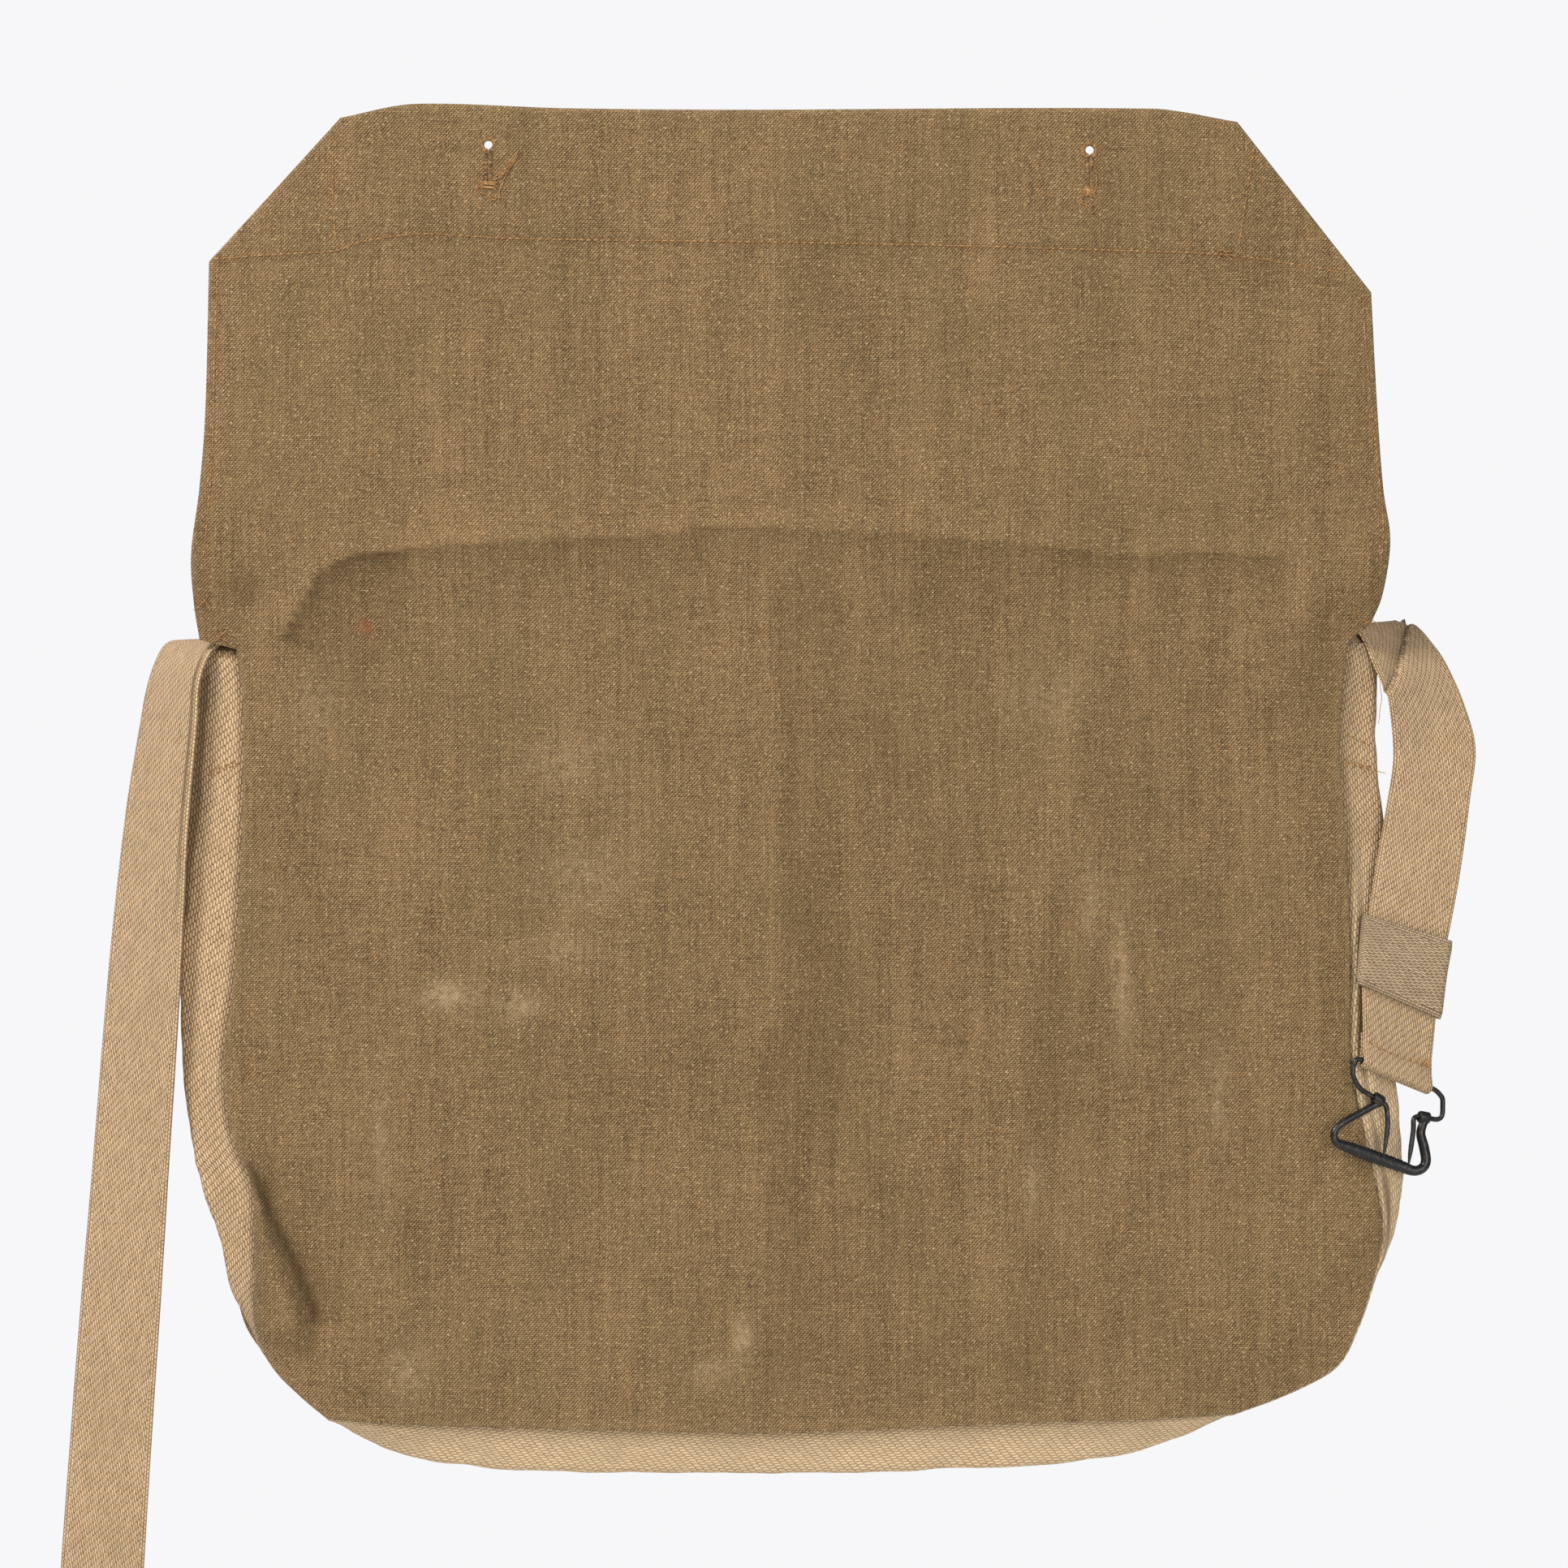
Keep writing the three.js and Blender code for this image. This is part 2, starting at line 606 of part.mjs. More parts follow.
// Sections of a strap's sewn leg on the gusset's inner side, from its lower end to above the mouth.
function legSections(isLeft, legLength) {
  const lift = webbingThickness + 3 * gap;
  const inX = isLeft ? 1 : -1;
  const walls = isLeft ? gussetSections : [...gussetSections].reverse();
  const onWall = (near, far) => {
    const wall = new THREE.Vector3(far.x - near.x, far.y - near.y, 0).normalize();
    const wallIn = new THREE.Vector3(wall.y * inX, Math.abs(wall.x), 0);
    const bend = wallIn.clone().add(new THREE.Vector3(0, 1, 0)).normalize();
    const turn = near.clone().addScaledVector(bend, lift / bend.dot(wallIn));
    const end = far.clone().addScaledVector(wallIn, lift).addScaledVector(wall, -webbingThickness * legShort);
    const level = new THREE.Vector3(end.x, end.y, near.z);
    const inner = webbingWidth - turn.distanceTo(level);
    return [turn.clone().add(new THREE.Vector3(inX * inner, 0, 0)), turn, level];
  };
  const top = walls[0][1].z;
  const lowest = walls.findIndex((section) => section[1].z < top - legLength);
  const upper = walls[lowest - 1];
  const lower = walls[lowest];
  const share = (upper[1].z - top + legLength) / (upper[1].z - lower[1].z);
  const foot = onWall(upper[1].clone().lerp(lower[1], share), upper[2].clone().lerp(lower[2], share));
  const stations = walls.slice(0, lowest).map((section) => onWall(section[1], section[2]));
  const head = stations[0].map((point) => point.clone().add(new THREE.Vector3(0, 0, legRise)));
  return [foot, ...stations.reverse(), head];
}

// Across direction and middle of a strap at a place along its table.
function strapFrame(rows, length, place) {
  const turn = radians(between(rows, "turn", place));
  const lean = between(rows, "lean", place);
  const level = Math.sqrt(1 - lean * lean);
  const middle = new THREE.Vector3(
    between(rows, "side", place) * bodyWidth,
    between(rows, "depth", place) * webbingWidth,
    mouthZ - between(rows, "down", place) * length,
  );
  const across = new THREE.Vector3(level * Math.cos(turn), level * Math.sin(turn), -lean);
  return { middle, across };
}

// Three points across a strap, its bend line included, from the near edge to the far edge.
function strapSection({ middle, across }, isLeft, nearShare, width = webbingWidth) {
  const near = isLeft ? 1 : -1;
  return [0, nearShare, 1].map((share) => {
    const reach = near * width * (0.5 - share);
    return middle.clone().addScaledVector(across, reach);
  });
}

function strapSections(rows, length, legLength, isLeft) {
  const leg = legSections(isLeft, legLength);
  const top = leg[leg.length - 1];
  const nearShare = top[0].distanceTo(top[1]) / webbingWidth;
  const free = [];
  const last = rows.length - 1;
  for (let place = 0; place <= last; place += 0.5) {
    free.push(strapSection(strapFrame(rows, length, place), isLeft, nearShare));
  }
  return [...leg, ...free];
}

function shoulderStrap() {
  const sections = strapSections(shoulderStrapRows, shoulderStrapLength, shoulderStrapLeg, true);
  return part("shoulder_strap", ribbon(sections, webbingThickness), webbing);
}

// Middle of the strap's sewn fold, the direction across it, down it and towards the viewer.
const foldPlace = { side: 0.5505, down: 1.017, depth: 0.03 };
const foldMiddle = new THREE.Vector3(
  foldPlace.side * bodyWidth,
  foldPlace.depth * webbingWidth,
  mouthZ - foldPlace.down * hookStrapLength,
);
const hookLevel = new THREE.Vector3(Math.cos(radians(hookTurn)), Math.sin(radians(hookTurn)), 0);
const hookFore = new THREE.Vector3(Math.sin(radians(hookTurn)), -Math.cos(radians(hookTurn)), 0);
const hookUp = new THREE.Vector3(0, 0, 1);
const foldAcross = hookLevel.clone().addScaledVector(hookUp, -hookSlope * hookLevel.x).normalize();
const foldDown = new THREE.Vector3().crossVectors(foldAcross, hookFore).normalize();

// The strap's lower end: down in front of the wire, round it and back up behind, sewn flat above.
function foldSections(nearShare) {
  const bend = wireDiameter / 2 + gap + webbingThickness / 2;
  const layer = (webbingThickness + gap) / 2;
  const throat = sewnFold / 2;
  const steps = 8;
  const extra = 10;
  const turns = Array.from({ length: steps + 1 }, (_, k) => radians((180 + 2 * extra) * (k / steps) - extra));
  const line = [
    { down: -sewnFold, fore: layer },
    { down: -throat, fore: layer },
    ...turns.map((turn) => ({ down: bend * Math.sin(turn), fore: bend * Math.cos(turn) })),
    { down: -throat, fore: -layer },
    { down: -sewnFold, fore: -layer },
  ];
  return line.map(({ down, fore }) => {
    const middle = foldMiddle.clone().addScaledVector(foldDown, down).addScaledVector(hookFore, fore);
    return strapSection({ middle, across: foldAcross }, false, nearShare, sewnWidth);
  });
}

const hookStrapSections = strapSections(hookStrapRows, hookStrapLength, hookStrapLeg, false);
const hookNearShare = hookStrapSections[0][0].distanceTo(hookStrapSections[0][1]) / webbingWidth;

function hookStrap() {
  const sections = [...hookStrapSections, ...foldSections(hookNearShare)];
  return part("hook_strap", ribbon(sections, webbingThickness), webbing);
}

// A webbing loop round the hook strap, which follows the strap's own turn and lean.
function keeperLoop() {
  const inner = { wide: webbingWidth / 2 + 2 * gap, deep: webbingThickness / 2 + 2 * gap };
  const ringAt = (place, extra) => {
    const { middle, across } = strapFrame(hookStrapRows, hookStrapLength, place);
    const above = strapFrame(hookStrapRows, hookStrapLength, place - 0.1).middle;
    const below = strapFrame(hookStrapRows, hookStrapLength, place + 0.1).middle;
    const along = new THREE.Vector3().subVectors(below, above).normalize();
    const out = new THREE.Vector3().crossVectors(along, across).normalize();
    return [[-1, -1], [0, -1], [1, -1], [1, 1], [0, 1], [-1, 1]].map(([u, v]) => {
      const point = middle.clone().addScaledVector(across, u * (inner.wide + extra));
      return point.addScaledVector(out, v * (inner.deep + extra));
    });
  };
  const outerRings = keeperPlaces.map((place) => ringAt(place, keeperThickness));
  const innerRings = keeperPlaces.map((place) => ringAt(place, 0));
  const size = outerRings[0].length;
  const inside = size * keeperPlaces.length;
  const points = [...outerRings.flat(), ...innerRings.flat()];
  const triangles = [];
  const quad = (a, b, c, d) => triangles.push([a, b, c], [a, c, d]);
  const end = inside - size;
  for (let k = 0; k < size; k += 1) {
    const n = (k + 1) % size;
    for (let ring = 0; ring < end; ring += size) {
      quad(ring + k, ring + n, ring + size + n, ring + size + k);
      quad(inside + ring + n, inside + ring + k, inside + ring + size + k, inside + ring + size + n);
    }
    quad(n, k, inside + k, inside + n);
    quad(end + k, end + n, inside + end + n, inside + end + k);
  }
  return part("keeper_loop", closedBody(points, triangles), keeperWebbing);
}

// A point of the hook, from its shares of webbingWidth about the fold's middle.
function hookPoint({ across, down, fore = 0 }) {
  const point = foldMiddle.clone().addScaledVector(hookLevel, (across * webbingWidth) / hookLevel.x);
  point.addScaledVector(hookUp, -down * webbingWidth);
  return point.addScaledVector(hookFore, fore * webbingWidth);
}

// The spring wire: straight stretches with round bends, its straight middle inside the strap's fold.
function hookWire() {
  const corners = wireCorners.map(hookPoint);
  const path = new THREE.CurvePath();
  let from = corners[0];
  for (let k = 1; k < corners.length - 1; k += 1) {
    const corner = corners[k];
    const before = new THREE.Vector3().subVectors(corner, from);
    const after = new THREE.Vector3().subVectors(corners[k + 1], corner);
    const cut = Math.min(wireBend, before.length() * 0.49, after.length() * 0.49);
    const start = corner.clone().addScaledVector(before.normalize(), -cut);
    const end = corner.clone().addScaledVector(after.normalize(), cut);
    path.add(new THREE.LineCurve3(from, start));
    path.add(new THREE.QuadraticBezierCurve3(start, corner, end));
    from = end;
  }
  path.add(new THREE.LineCurve3(from, corners[corners.length - 1]));
  const frames = [];
  path.curves.forEach((curve, k) => {
    const steps = curve.isLineCurve3 ? 1 : 4;
    for (let n = k === 0 ? 0 : 1; n <= steps; n += 1) {
      const along = curve.getTangent(n / steps);
      const first = new THREE.Vector3().crossVectors(hookFore, along).normalize();
      const second = new THREE.Vector3().crossVectors(along, first).normalize();
      const half = wireDiameter / 2;
      frames.push({ middle: curve.getPoint(n / steps), first, second, high: half, thick: half });
    }
  });
  return part("hook_wire", ovalRod(frames, 8), blackSteel);
}

// Ends of an eye's hole, on the wire's straight stretch that runs through it.
function eyeLine({ across, from, to }) {
  const start = hookPoint(wireCorners[from]);
  const end = hookPoint(wireCorners[to]);
  const place = (across - wireCorners[from].across) / (wireCorners[to].across - wireCorners[from].across);
  const middle = start.clone().lerp(end, place);
  const along = end.clone().sub(start).normalize();
  return [-0.5, 0.5].map((share) => middle.clone().addScaledVector(along, share * eyeLength));
}

// The thick bar: a rod from eye to eye, joined to the eyes, with the wire's holes cut through.
function hookBody() {
  const middles = new THREE.CatmullRomCurve3(barPath.map(hookPoint));
  const steps = 3 * (barPath.length - 1);
  const frames = [];
  for (let n = 0; n <= steps; n += 1) {
    const along = middles.getTangent(n / steps);
    const first = new THREE.Vector3().crossVectors(hookFore, along).normalize();
    const place = (n / steps) * (barPath.length - 1);
    const high = (between(barPath, "high", place) * webbingWidth) / 2;
    const thick = (between(barPath, "thick", place) * webbingWidth) / 2;
    frames.push({ middle: middles.getPoint(n / steps), first, second: hookFore, high, thick });
  }
  let bar = toManifold(ovalRod(frames, 10));
  [leftEye, rightEye].forEach((eye) => {
    const [from, to] = eyeLine(eye);
    bar = bar.add(toManifold(pin(from, to, eyeDiameter, 14)));
  });
  [leftEye, rightEye].forEach((eye) => {
    const [from, to] = eyeLine(eye);
    const beyond = to.clone().sub(from);
    const hole = pin(from.clone().sub(beyond), to.clone().add(beyond), wireDiameter + 2 * gap, 12);
    bar = bar.subtract(toManifold(hole));
  });
  return part("hook_body", fromManifold(bar), blackSteel);
}

// A four-hole button on the front panel's far face, where the closed flap's buttonhole comes.
function button(name, { side, down }) {
  const foldZ = -flapRows[flapFoldRow].leftDown * flapRise;
  const back = frontRestDepth + clothThickness + gap;
  const rim = buttonThickness / 4;
  const profile = [
    [0, 0],
    [buttonDiameter / 2 - rim, 0],
    [buttonDiameter / 2, rim],
    [buttonDiameter / 2, buttonThickness - rim],
    [buttonDiameter / 2 - rim, buttonThickness],
    [buttonDiameter / 2 - 3 * rim, buttonThickness - rim],
    [0, buttonThickness - rim],
  ].map(([radius, height]) => new THREE.Vector2(radius, height));
  let disc = toManifold(new THREE.LatheGeometry(profile, 24));
  const half = buttonHoleSpacing / 2;
  [[-1, -1], [1, -1], [1, 1], [-1, 1]].forEach(([u, v]) => {
    const from = new THREE.Vector3(u * half, -buttonThickness, v * half);
    const to = new THREE.Vector3(u * half, 2 * buttonThickness, v * half);
    disc = disc.subtract(toManifold(pin(from, to, buttonHoleDiameter, 8)));
  });
  const mesh = part(name, fromManifold(disc), buttonMaterial);
  mesh.position.set(side * flapWidth, back, 2 * foldZ + down * flapRise);
  return mesh;
}

const haversack = new THREE.Group();
haversack.add(backPanel());
haversack.add(frontPanel());
haversack.add(gussetBand());
haversack.add(shoulderStrap());
haversack.add(hookStrap());
haversack.add(keeperLoop());
haversack.add(hookBody());
haversack.add(hookWire());
haversack.add(button("button_left", buttonholes[0]));
haversack.add(button("button_right", buttonholes[1]));

export default haversack;
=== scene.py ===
"""A flat canvas haversack, seen from its back with the flap raised, hung by the flap's edge."""
import math
import random

import bpy
import numpy as np
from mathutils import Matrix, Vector, noise


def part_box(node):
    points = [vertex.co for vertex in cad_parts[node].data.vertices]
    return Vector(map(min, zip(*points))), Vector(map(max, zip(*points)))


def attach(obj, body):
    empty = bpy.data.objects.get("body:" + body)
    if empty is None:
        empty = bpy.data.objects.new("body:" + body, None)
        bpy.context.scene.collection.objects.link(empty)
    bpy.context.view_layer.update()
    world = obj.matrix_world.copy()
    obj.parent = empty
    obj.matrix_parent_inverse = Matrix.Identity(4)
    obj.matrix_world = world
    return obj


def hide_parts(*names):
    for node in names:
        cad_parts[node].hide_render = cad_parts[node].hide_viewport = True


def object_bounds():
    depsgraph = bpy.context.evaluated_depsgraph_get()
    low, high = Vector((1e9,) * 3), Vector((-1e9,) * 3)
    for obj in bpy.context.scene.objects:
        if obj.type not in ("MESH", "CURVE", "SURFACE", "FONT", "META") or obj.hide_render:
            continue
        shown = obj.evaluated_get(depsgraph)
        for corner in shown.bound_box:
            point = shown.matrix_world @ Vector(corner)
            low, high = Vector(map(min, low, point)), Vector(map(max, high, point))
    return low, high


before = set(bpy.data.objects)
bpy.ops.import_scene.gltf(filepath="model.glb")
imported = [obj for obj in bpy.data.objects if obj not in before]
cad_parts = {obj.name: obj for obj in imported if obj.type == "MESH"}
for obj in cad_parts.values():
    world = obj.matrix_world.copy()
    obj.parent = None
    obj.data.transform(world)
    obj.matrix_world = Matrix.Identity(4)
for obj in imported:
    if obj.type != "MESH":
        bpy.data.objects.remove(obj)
cad_box = [list(corner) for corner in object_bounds()]
MM = 0.001

# Camera: level, square to the back panel, framed as the photograph is
PHOTO_SIZE = 1932
PHOTO_SCALE = 3.5
ORIGIN_PIXEL = (975, 135)
LENS = 200
SENSOR = 36


def from_photo(px, py):
    """Place in millimetres, across and up, of a pixel of the photograph."""
    return (px - ORIGIN_PIXEL[0]) / PHOTO_SCALE, (ORIGIN_PIXEL[1] - py) / PHOTO_SCALE


def add_camera():
    x, z = from_photo(PHOTO_SIZE / 2, PHOTO_SIZE / 2)
    width = PHOTO_SIZE / PHOTO_SCALE * MM
    data = bpy.data.cameras.new("camera")
    data.lens = LENS
    data.sensor_width = SENSOR
    data.sensor_fit = "HORIZONTAL"
    camera = bpy.data.objects.new("camera", data)
    camera.location = (x * MM, -width * LENS / SENSOR, z * MM)
    camera.rotation_euler = (math.radians(90), 0, 0)
    bpy.context.scene.collection.objects.link(camera)
    bpy.context.scene.camera = camera


add_camera()

# Driving sizes in millimetres, as in the frame
flap_width = 421
flap_rise = 187
body_width = 387
body_height = 279
cloth_thickness = 1.2
hem_thickness = 2.4
side_hem = 5
mouth_hem = 12
webbing_width = 30
webbing_thickness = 1.5
seam_margin = 4
gusset_drop = 2
front_rest_depth = 12
shoulder_strap_length = 354
shoulder_strap_leg = 46
hook_strap_length = 150
hook_strap_leg = 48
keeper_thickness = 1.4
keeper_width = 25
sewn_fold = 9
sewn_width = 28
wire_diameter = 1.8
wire_bend = 1.8
wide_bend = 3.4
tight_bends = (4, 5)
bar_steps = 260
tooth_pitch = 1.5
tooth_depth = 0.22
eye_diameter = 4.3
eye_length = 4
hook_slope = 0.407
hook_turn = 20
eyelet_diameter = 4
slit_width = 1.2
slit_length = 12
gap = 0.3
leg_rise = 1.5
leg_short = 1.6
mouth_z = -flap_rise


def table(columns, rows):
    """Columns of numbers by name."""
    return {name: np.array([row[k] for row in rows], float) for k, name in enumerate(columns)}


flap_rows = table(("left_down", "left", "right_down", "right"), [
    (0.015, -0.377, 0.023, 0.373),
    (0.286, -0.487, 0.344, 0.485),
    (0.558, -0.490, 0.558, 0.490),
    (0.710, -0.495, 0.710, 0.495),
    (0.833, -0.502, 0.810, 0.501),
    (0.924, -0.500, 0.909, 0.495),
    (0.998, -0.495, 0.967, 0.485),
])
body_rows = table(("left_down", "left_near", "left_far", "right_down", "right_near", "right_far"), [
    (0.011, -0.505, -0.546, 0.001, 0.507, 0.536),
    (0.062, -0.500, -0.546, 0.062, 0.502, 0.534),
    (0.144, -0.499, -0.550, 0.144, 0.499, 0.533),
    (0.267, -0.501, -0.554, 0.267, 0.506, 0.542),
    (0.420, -0.507, -0.558, 0.420, 0.509, 0.547),
    (0.533, -0.517, -0.556, 0.533, 0.509, 0.550),
    (0.625, -0.509, -0.548, 0.625, 0.521, 0.556),
    (0.687, -0.491, -0.538, 0.687, 0.532, 0.558),
    (0.748, -0.489, -0.523, 0.748, 0.538, 0.550),
    (0.810, -0.489, -0.512, 0.810, 0.529, 0.530),
    (0.871, -0.487, -0.500, 0.871, 0.514, 0.512),
    (0.917, -0.471, -0.475, 0.917, 0.495, 0.492),
    (0.953, -0.446, -0.447, 0.951, 0.450, 0.448),
    (0.982, -0.421, -0.421, 0.976, 0.402, 0.401),
])
last_row = len(body_rows["left_down"]) - 1
top_edge = table(("across", "down"), [
    (0, 0.015), (0.08, -0.011), (0.25, -0.003), (0.43, 0), (0.91, -0.002), (1, 0.023),
])
hem_line = table(("across", "down"), [
    (0, 0.286), (0.11, 0.264), (0.18, 0.234), (0.45, 0.249), (0.87, 0.270), (1, 0.344),
])
bottom_edge = table(("across", "near", "far"), [
    (0, 0.982, 0.985),
    (0.07, 0.989, 1.026),
    (0.18, 0.993, 1.047),
    (0.35, 0.998, 1.052),
    (0.50, 1.000, 1.053),
    (0.70, 0.991, 1.047),
    (0.80, 0.986, 1.041),
    (0.875, 0.984, 1.031),
    (0.93, 0.981, 1.010),
    (1, 0.976, 0.975),
])
strap_columns = ("side", "down", "depth", "turn", "lean")
shoulder_strap_rows = table(strap_columns, [
    (-0.526, 0.004, 0.54, -46, 0),
    (-0.538, 0.000, 0.53, -46, 0),
    (-0.549, 0.004, 0.50, -47, 0),
    (-0.558, 0.021, 0.35, -50, 0),
    (-0.565, 0.049, 0.27, -48, 0),
    (-0.569, 0.089, 0.23, -44, 0),
    (-0.578, 0.170, 0.22, -38, 0),
    (-0.586, 0.275, 0.20, -30, 0),
    (-0.592, 0.364, 0.20, -26, 0),
    (-0.603, 0.533, 0.20, -22, 0),
    (-0.611, 0.654, 0.20, -17, 0),
    (-0.619, 0.775, 0.20, -14, 0),
    (-0.628, 0.922, 0.20, -10, 0),
    (-0.633, 1.009, 0.20, -8, 0),
])
hook_strap_rows = table(strap_columns, [
    (0.526, -0.041, 0.57, 60, 0),
    (0.537, -0.038, 0.57, 55, -0.10),
    (0.547, -0.018, 0.53, 52, -0.28),
    (0.558, 0.028, 0.40, 46, -0.40),
    (0.571, 0.085, 0.28, 38, -0.30),
    (0.581, 0.172, 0.20, 24, -0.14),
    (0.586, 0.268, 0.17, 10, -0.10),
    (0.580, 0.382, 0.13, 5, -0.10),
    (0.572, 0.515, 0.10, 4, 0.05),
    (0.565, 0.620, 0.08, 8, 0.22),
    (0.558, 0.729, 0.07, 15, 0.34),
    (0.553, 0.847, 0.05, 18, 0.38),
])
keeper_from = 9.5
keeper_to = 11
fold_place = {"side": 0.5505, "down": 1.017, "depth": 0.03}
wire_corners = [
    (-0.186, 0.957, 0.085),
    (-0.110, 0.586, 0.03),
    (-0.119, 0.357, 0),
    (-0.462, 0.157, 0),
    (-0.535, -0.030, 0),
    (-0.480, -0.195, 0),
    (0.480, 0.195, 0),
    (0.562, 0.290, 0),
    (0.557, 0.557, 0),
    (0.205, 0.490, 0),
    (0.195, 0.652, 0.03),
    (0.114, 1.052, 0.085),
]
left_eye = {"across": -0.22, "from": 3, "to": 2}
right_eye = {"across": 0.333, "from": 8, "to": 9}
bar_columns = ("across", "down", "high", "thick")
bar_path = table(bar_columns, [
    (-0.225, 0.345, 0.087, 0.087),
    (-0.300, 0.382, 0.087, 0.087),
    (-0.414, 0.443, 0.087, 0.087),
    (-0.633, 0.557, 0.087, 0.087),
    (-0.729, 0.643, 0.087, 0.087),
    (-0.748, 0.719, 0.090, 0.087),
    (-0.710, 0.795, 0.100, 0.085),
    (-0.595, 0.843, 0.130, 0.080),
    (-0.290, 0.957, 0.160, 0.080),
    (0.024, 1.071, 0.150, 0.080),
    (0.205, 1.138, 0.120, 0.100),
    (0.310, 1.110, 0.120, 0.120),
    (0.357, 1.024, 0.120, 0.120),
    (0.333, 0.862, 0.120, 0.120),
    (0.295, 0.700, 0.110, 0.110),
    (0.333, 0.560, 0.100, 0.100),
])
buttonholes = [(-0.2535, 0.066), (0.2495, 0.076)]


def smoothstep(value, low, high):
    t = np.clip((value - low) / (high - low), 0, 1)
    return t * t * (3 - 2 * t)


def spline(values, places):
    """Smooth curve through the values, read at places counted in values."""
    values = np.asarray(values, float)
    places = np.asarray(places, float)
    last = len(values) - 1
    k = np.clip(np.floor(places).astype(int), 0, last - 1)
    t = places - k
    p1 = values[k]
    p2 = values[k + 1]
    p0 = np.where(k > 0, values[np.maximum(k - 1, 0)], 2 * p1 - p2)
    p3 = np.where(k + 2 <= last, values[np.minimum(k + 2, last)], 2 * p2 - p1)
    rise = (p2 - p0) / 2
    fall = (p3 - p1) / 2
    return ((2 * t**3 - 3 * t**2 + 1) * p1 + (t**3 - 2 * t**2 + t) * rise
            + (3 * t**2 - 2 * t**3) * p2 + (t**3 - t**2) * fall)


def noise_at(x, y, size, seed):
    """Smooth noise from -1 to 1 over places in millimetres."""
    x, y = np.broadcast_arrays(x, y)
    flat = [noise.noise(Vector((a / size, b / size, seed))) for a, b in zip(x.ravel(), y.ravel())]
    return np.array(flat).reshape(x.shape)


def bell(value, middle, width):
    """A round peak of height 1 at the middle."""
    return np.exp(-((value - middle) / width) ** 2)


def least(*values):
    """The smallest of several arrays, place by place."""
    result = values[0]
    for value in values[1:]:
        result = np.minimum(result, value)
    return result


def travelled(line):
    """Distance along a line to each of its points."""
    return np.concatenate([[0], np.cumsum(np.linalg.norm(np.diff(line, axis=0), axis=1))])


def unit(vectors):
    length = np.linalg.norm(vectors, axis=-1, keepdims=True)
    return vectors / np.maximum(length, 1e-9)


def add_object(name, points, faces, material, uvs=None, values=None, smooth=True):
    """A mesh object from points in millimetres, with one uv in millimetres for each point."""
    mesh = bpy.data.meshes.new(name)
    mesh.from_pydata((np.asarray(points) * MM).tolist(), [], [list(face) for face in faces])
    if uvs is not None:
        loops = np.empty(len(mesh.loops), dtype=np.int32)
        mesh.loops.foreach_get("vertex_index", loops)
        layer = mesh.uv_layers.new(name="cloth")
        layer.data.foreach_set("uv", np.asarray(uvs, np.float32)[loops].ravel())
    for key, data in (values or {}).items():
        layer = mesh.attributes.new(key, "FLOAT", "POINT")
        layer.data.foreach_set("value", np.asarray(data, np.float32).ravel())
    mesh.polygons.foreach_set("use_smooth", [smooth] * len(mesh.polygons))
    mesh.materials.append(material)
    mesh.validate()
    mesh.update()
    thing = bpy.data.objects.new(name, mesh)
    bpy.context.scene.collection.objects.link(thing)
    return thing


def grid_faces(rows, columns, start=0, flip=False, ring=False):
    """Four-sided faces between the rows of a grid of points, closed sideways where it is a ring."""
    faces = []
    for i in range(rows - 1):
        for j in range(columns if ring else columns - 1):
            a = start + i * columns + j
            b = start + i * columns + (j + 1) % columns
            faces.append((a, a + columns, b + columns, b) if flip else (a, b, b + columns, a + columns))
    return faces


def tube_faces(rows, columns, start=0):
    """Faces of a tube of rings, closed flat at both ends."""
    last = start + (rows - 1) * columns
    ends = [tuple(range(start, start + columns))[::-1], tuple(range(last, last + columns))]
    return grid_faces(rows, columns, start, ring=True) + ends


def rings_along(middles, first, second, high, thick, sides):
    """An oval ring of points round each middle, across the two directions given there."""
    turns = np.linspace(0, 2 * math.pi, sides, endpoint=False)
    return [middle + np.outer(np.cos(turns), a) * up + np.outer(np.sin(turns), b) * deep
            for middle, a, b, up, deep in zip(middles, first, second, high, thick)]


def surface_normal(grid):
    return unit(np.cross(np.gradient(grid, axis=0), np.gradient(grid, axis=1)))


def shell(name, front, back, material, uvs, values, slot="canvas"):
    """A closed cloth between two skins, both grids of points with the same rows and columns."""
    rows, columns = front.shape[:2]
    skin = rows * columns
    faces = grid_faces(rows, columns) + grid_faces(rows, columns, skin, flip=True)
    rim = list(range(columns))
    rim += [i * columns + columns - 1 for i in range(1, rows)]
    rim += [(rows - 1) * columns + j for j in range(columns - 2, -1, -1)]
    rim += [i * columns for i in range(rows - 2, 0, -1)]
    for a, b in zip(rim, rim[1:] + rim[:1]):
        faces.append((b, a, skin + a, skin + b))
    points = np.concatenate([front.reshape(-1, 3), back.reshape(-1, 3)])
    uv = np.tile(uvs.reshape(-1, 2), (2, 1))
    doubled = {key: np.tile(data.ravel(), 2) for key, data in values.items()}
    thing = add_object(name, points, faces, material, uv, doubled)
    fix_normals(thing)
    return thing


def fix_normals(thing):
    """Turns a closed mesh's faces out."""
    mesh = thing.data
    mesh.calc_loop_triangles()
    points = np.array([vertex.co for vertex in mesh.vertices], np.float64)
    corners = np.array([triangle.vertices for triangle in mesh.loop_triangles])
    a, b, c = (points[corners[:, k]] for k in range(3))
    if np.einsum("ij,ij->i", a, np.cross(b, c)).sum() < 0:
        mesh.flip_normals()


def apply_boolean(target, other, operation):
    """Joins another closed mesh to the target, or cuts it out, and removes the other."""
    change = target.modifiers.new("change", "BOOLEAN")
    change.object = other
    change.operation = operation
    change.solver = "EXACT"
    bpy.context.view_layer.objects.active = target
    bpy.ops.object.modifier_apply(modifier=change.name)
    bpy.data.objects.remove(other)


# Materials


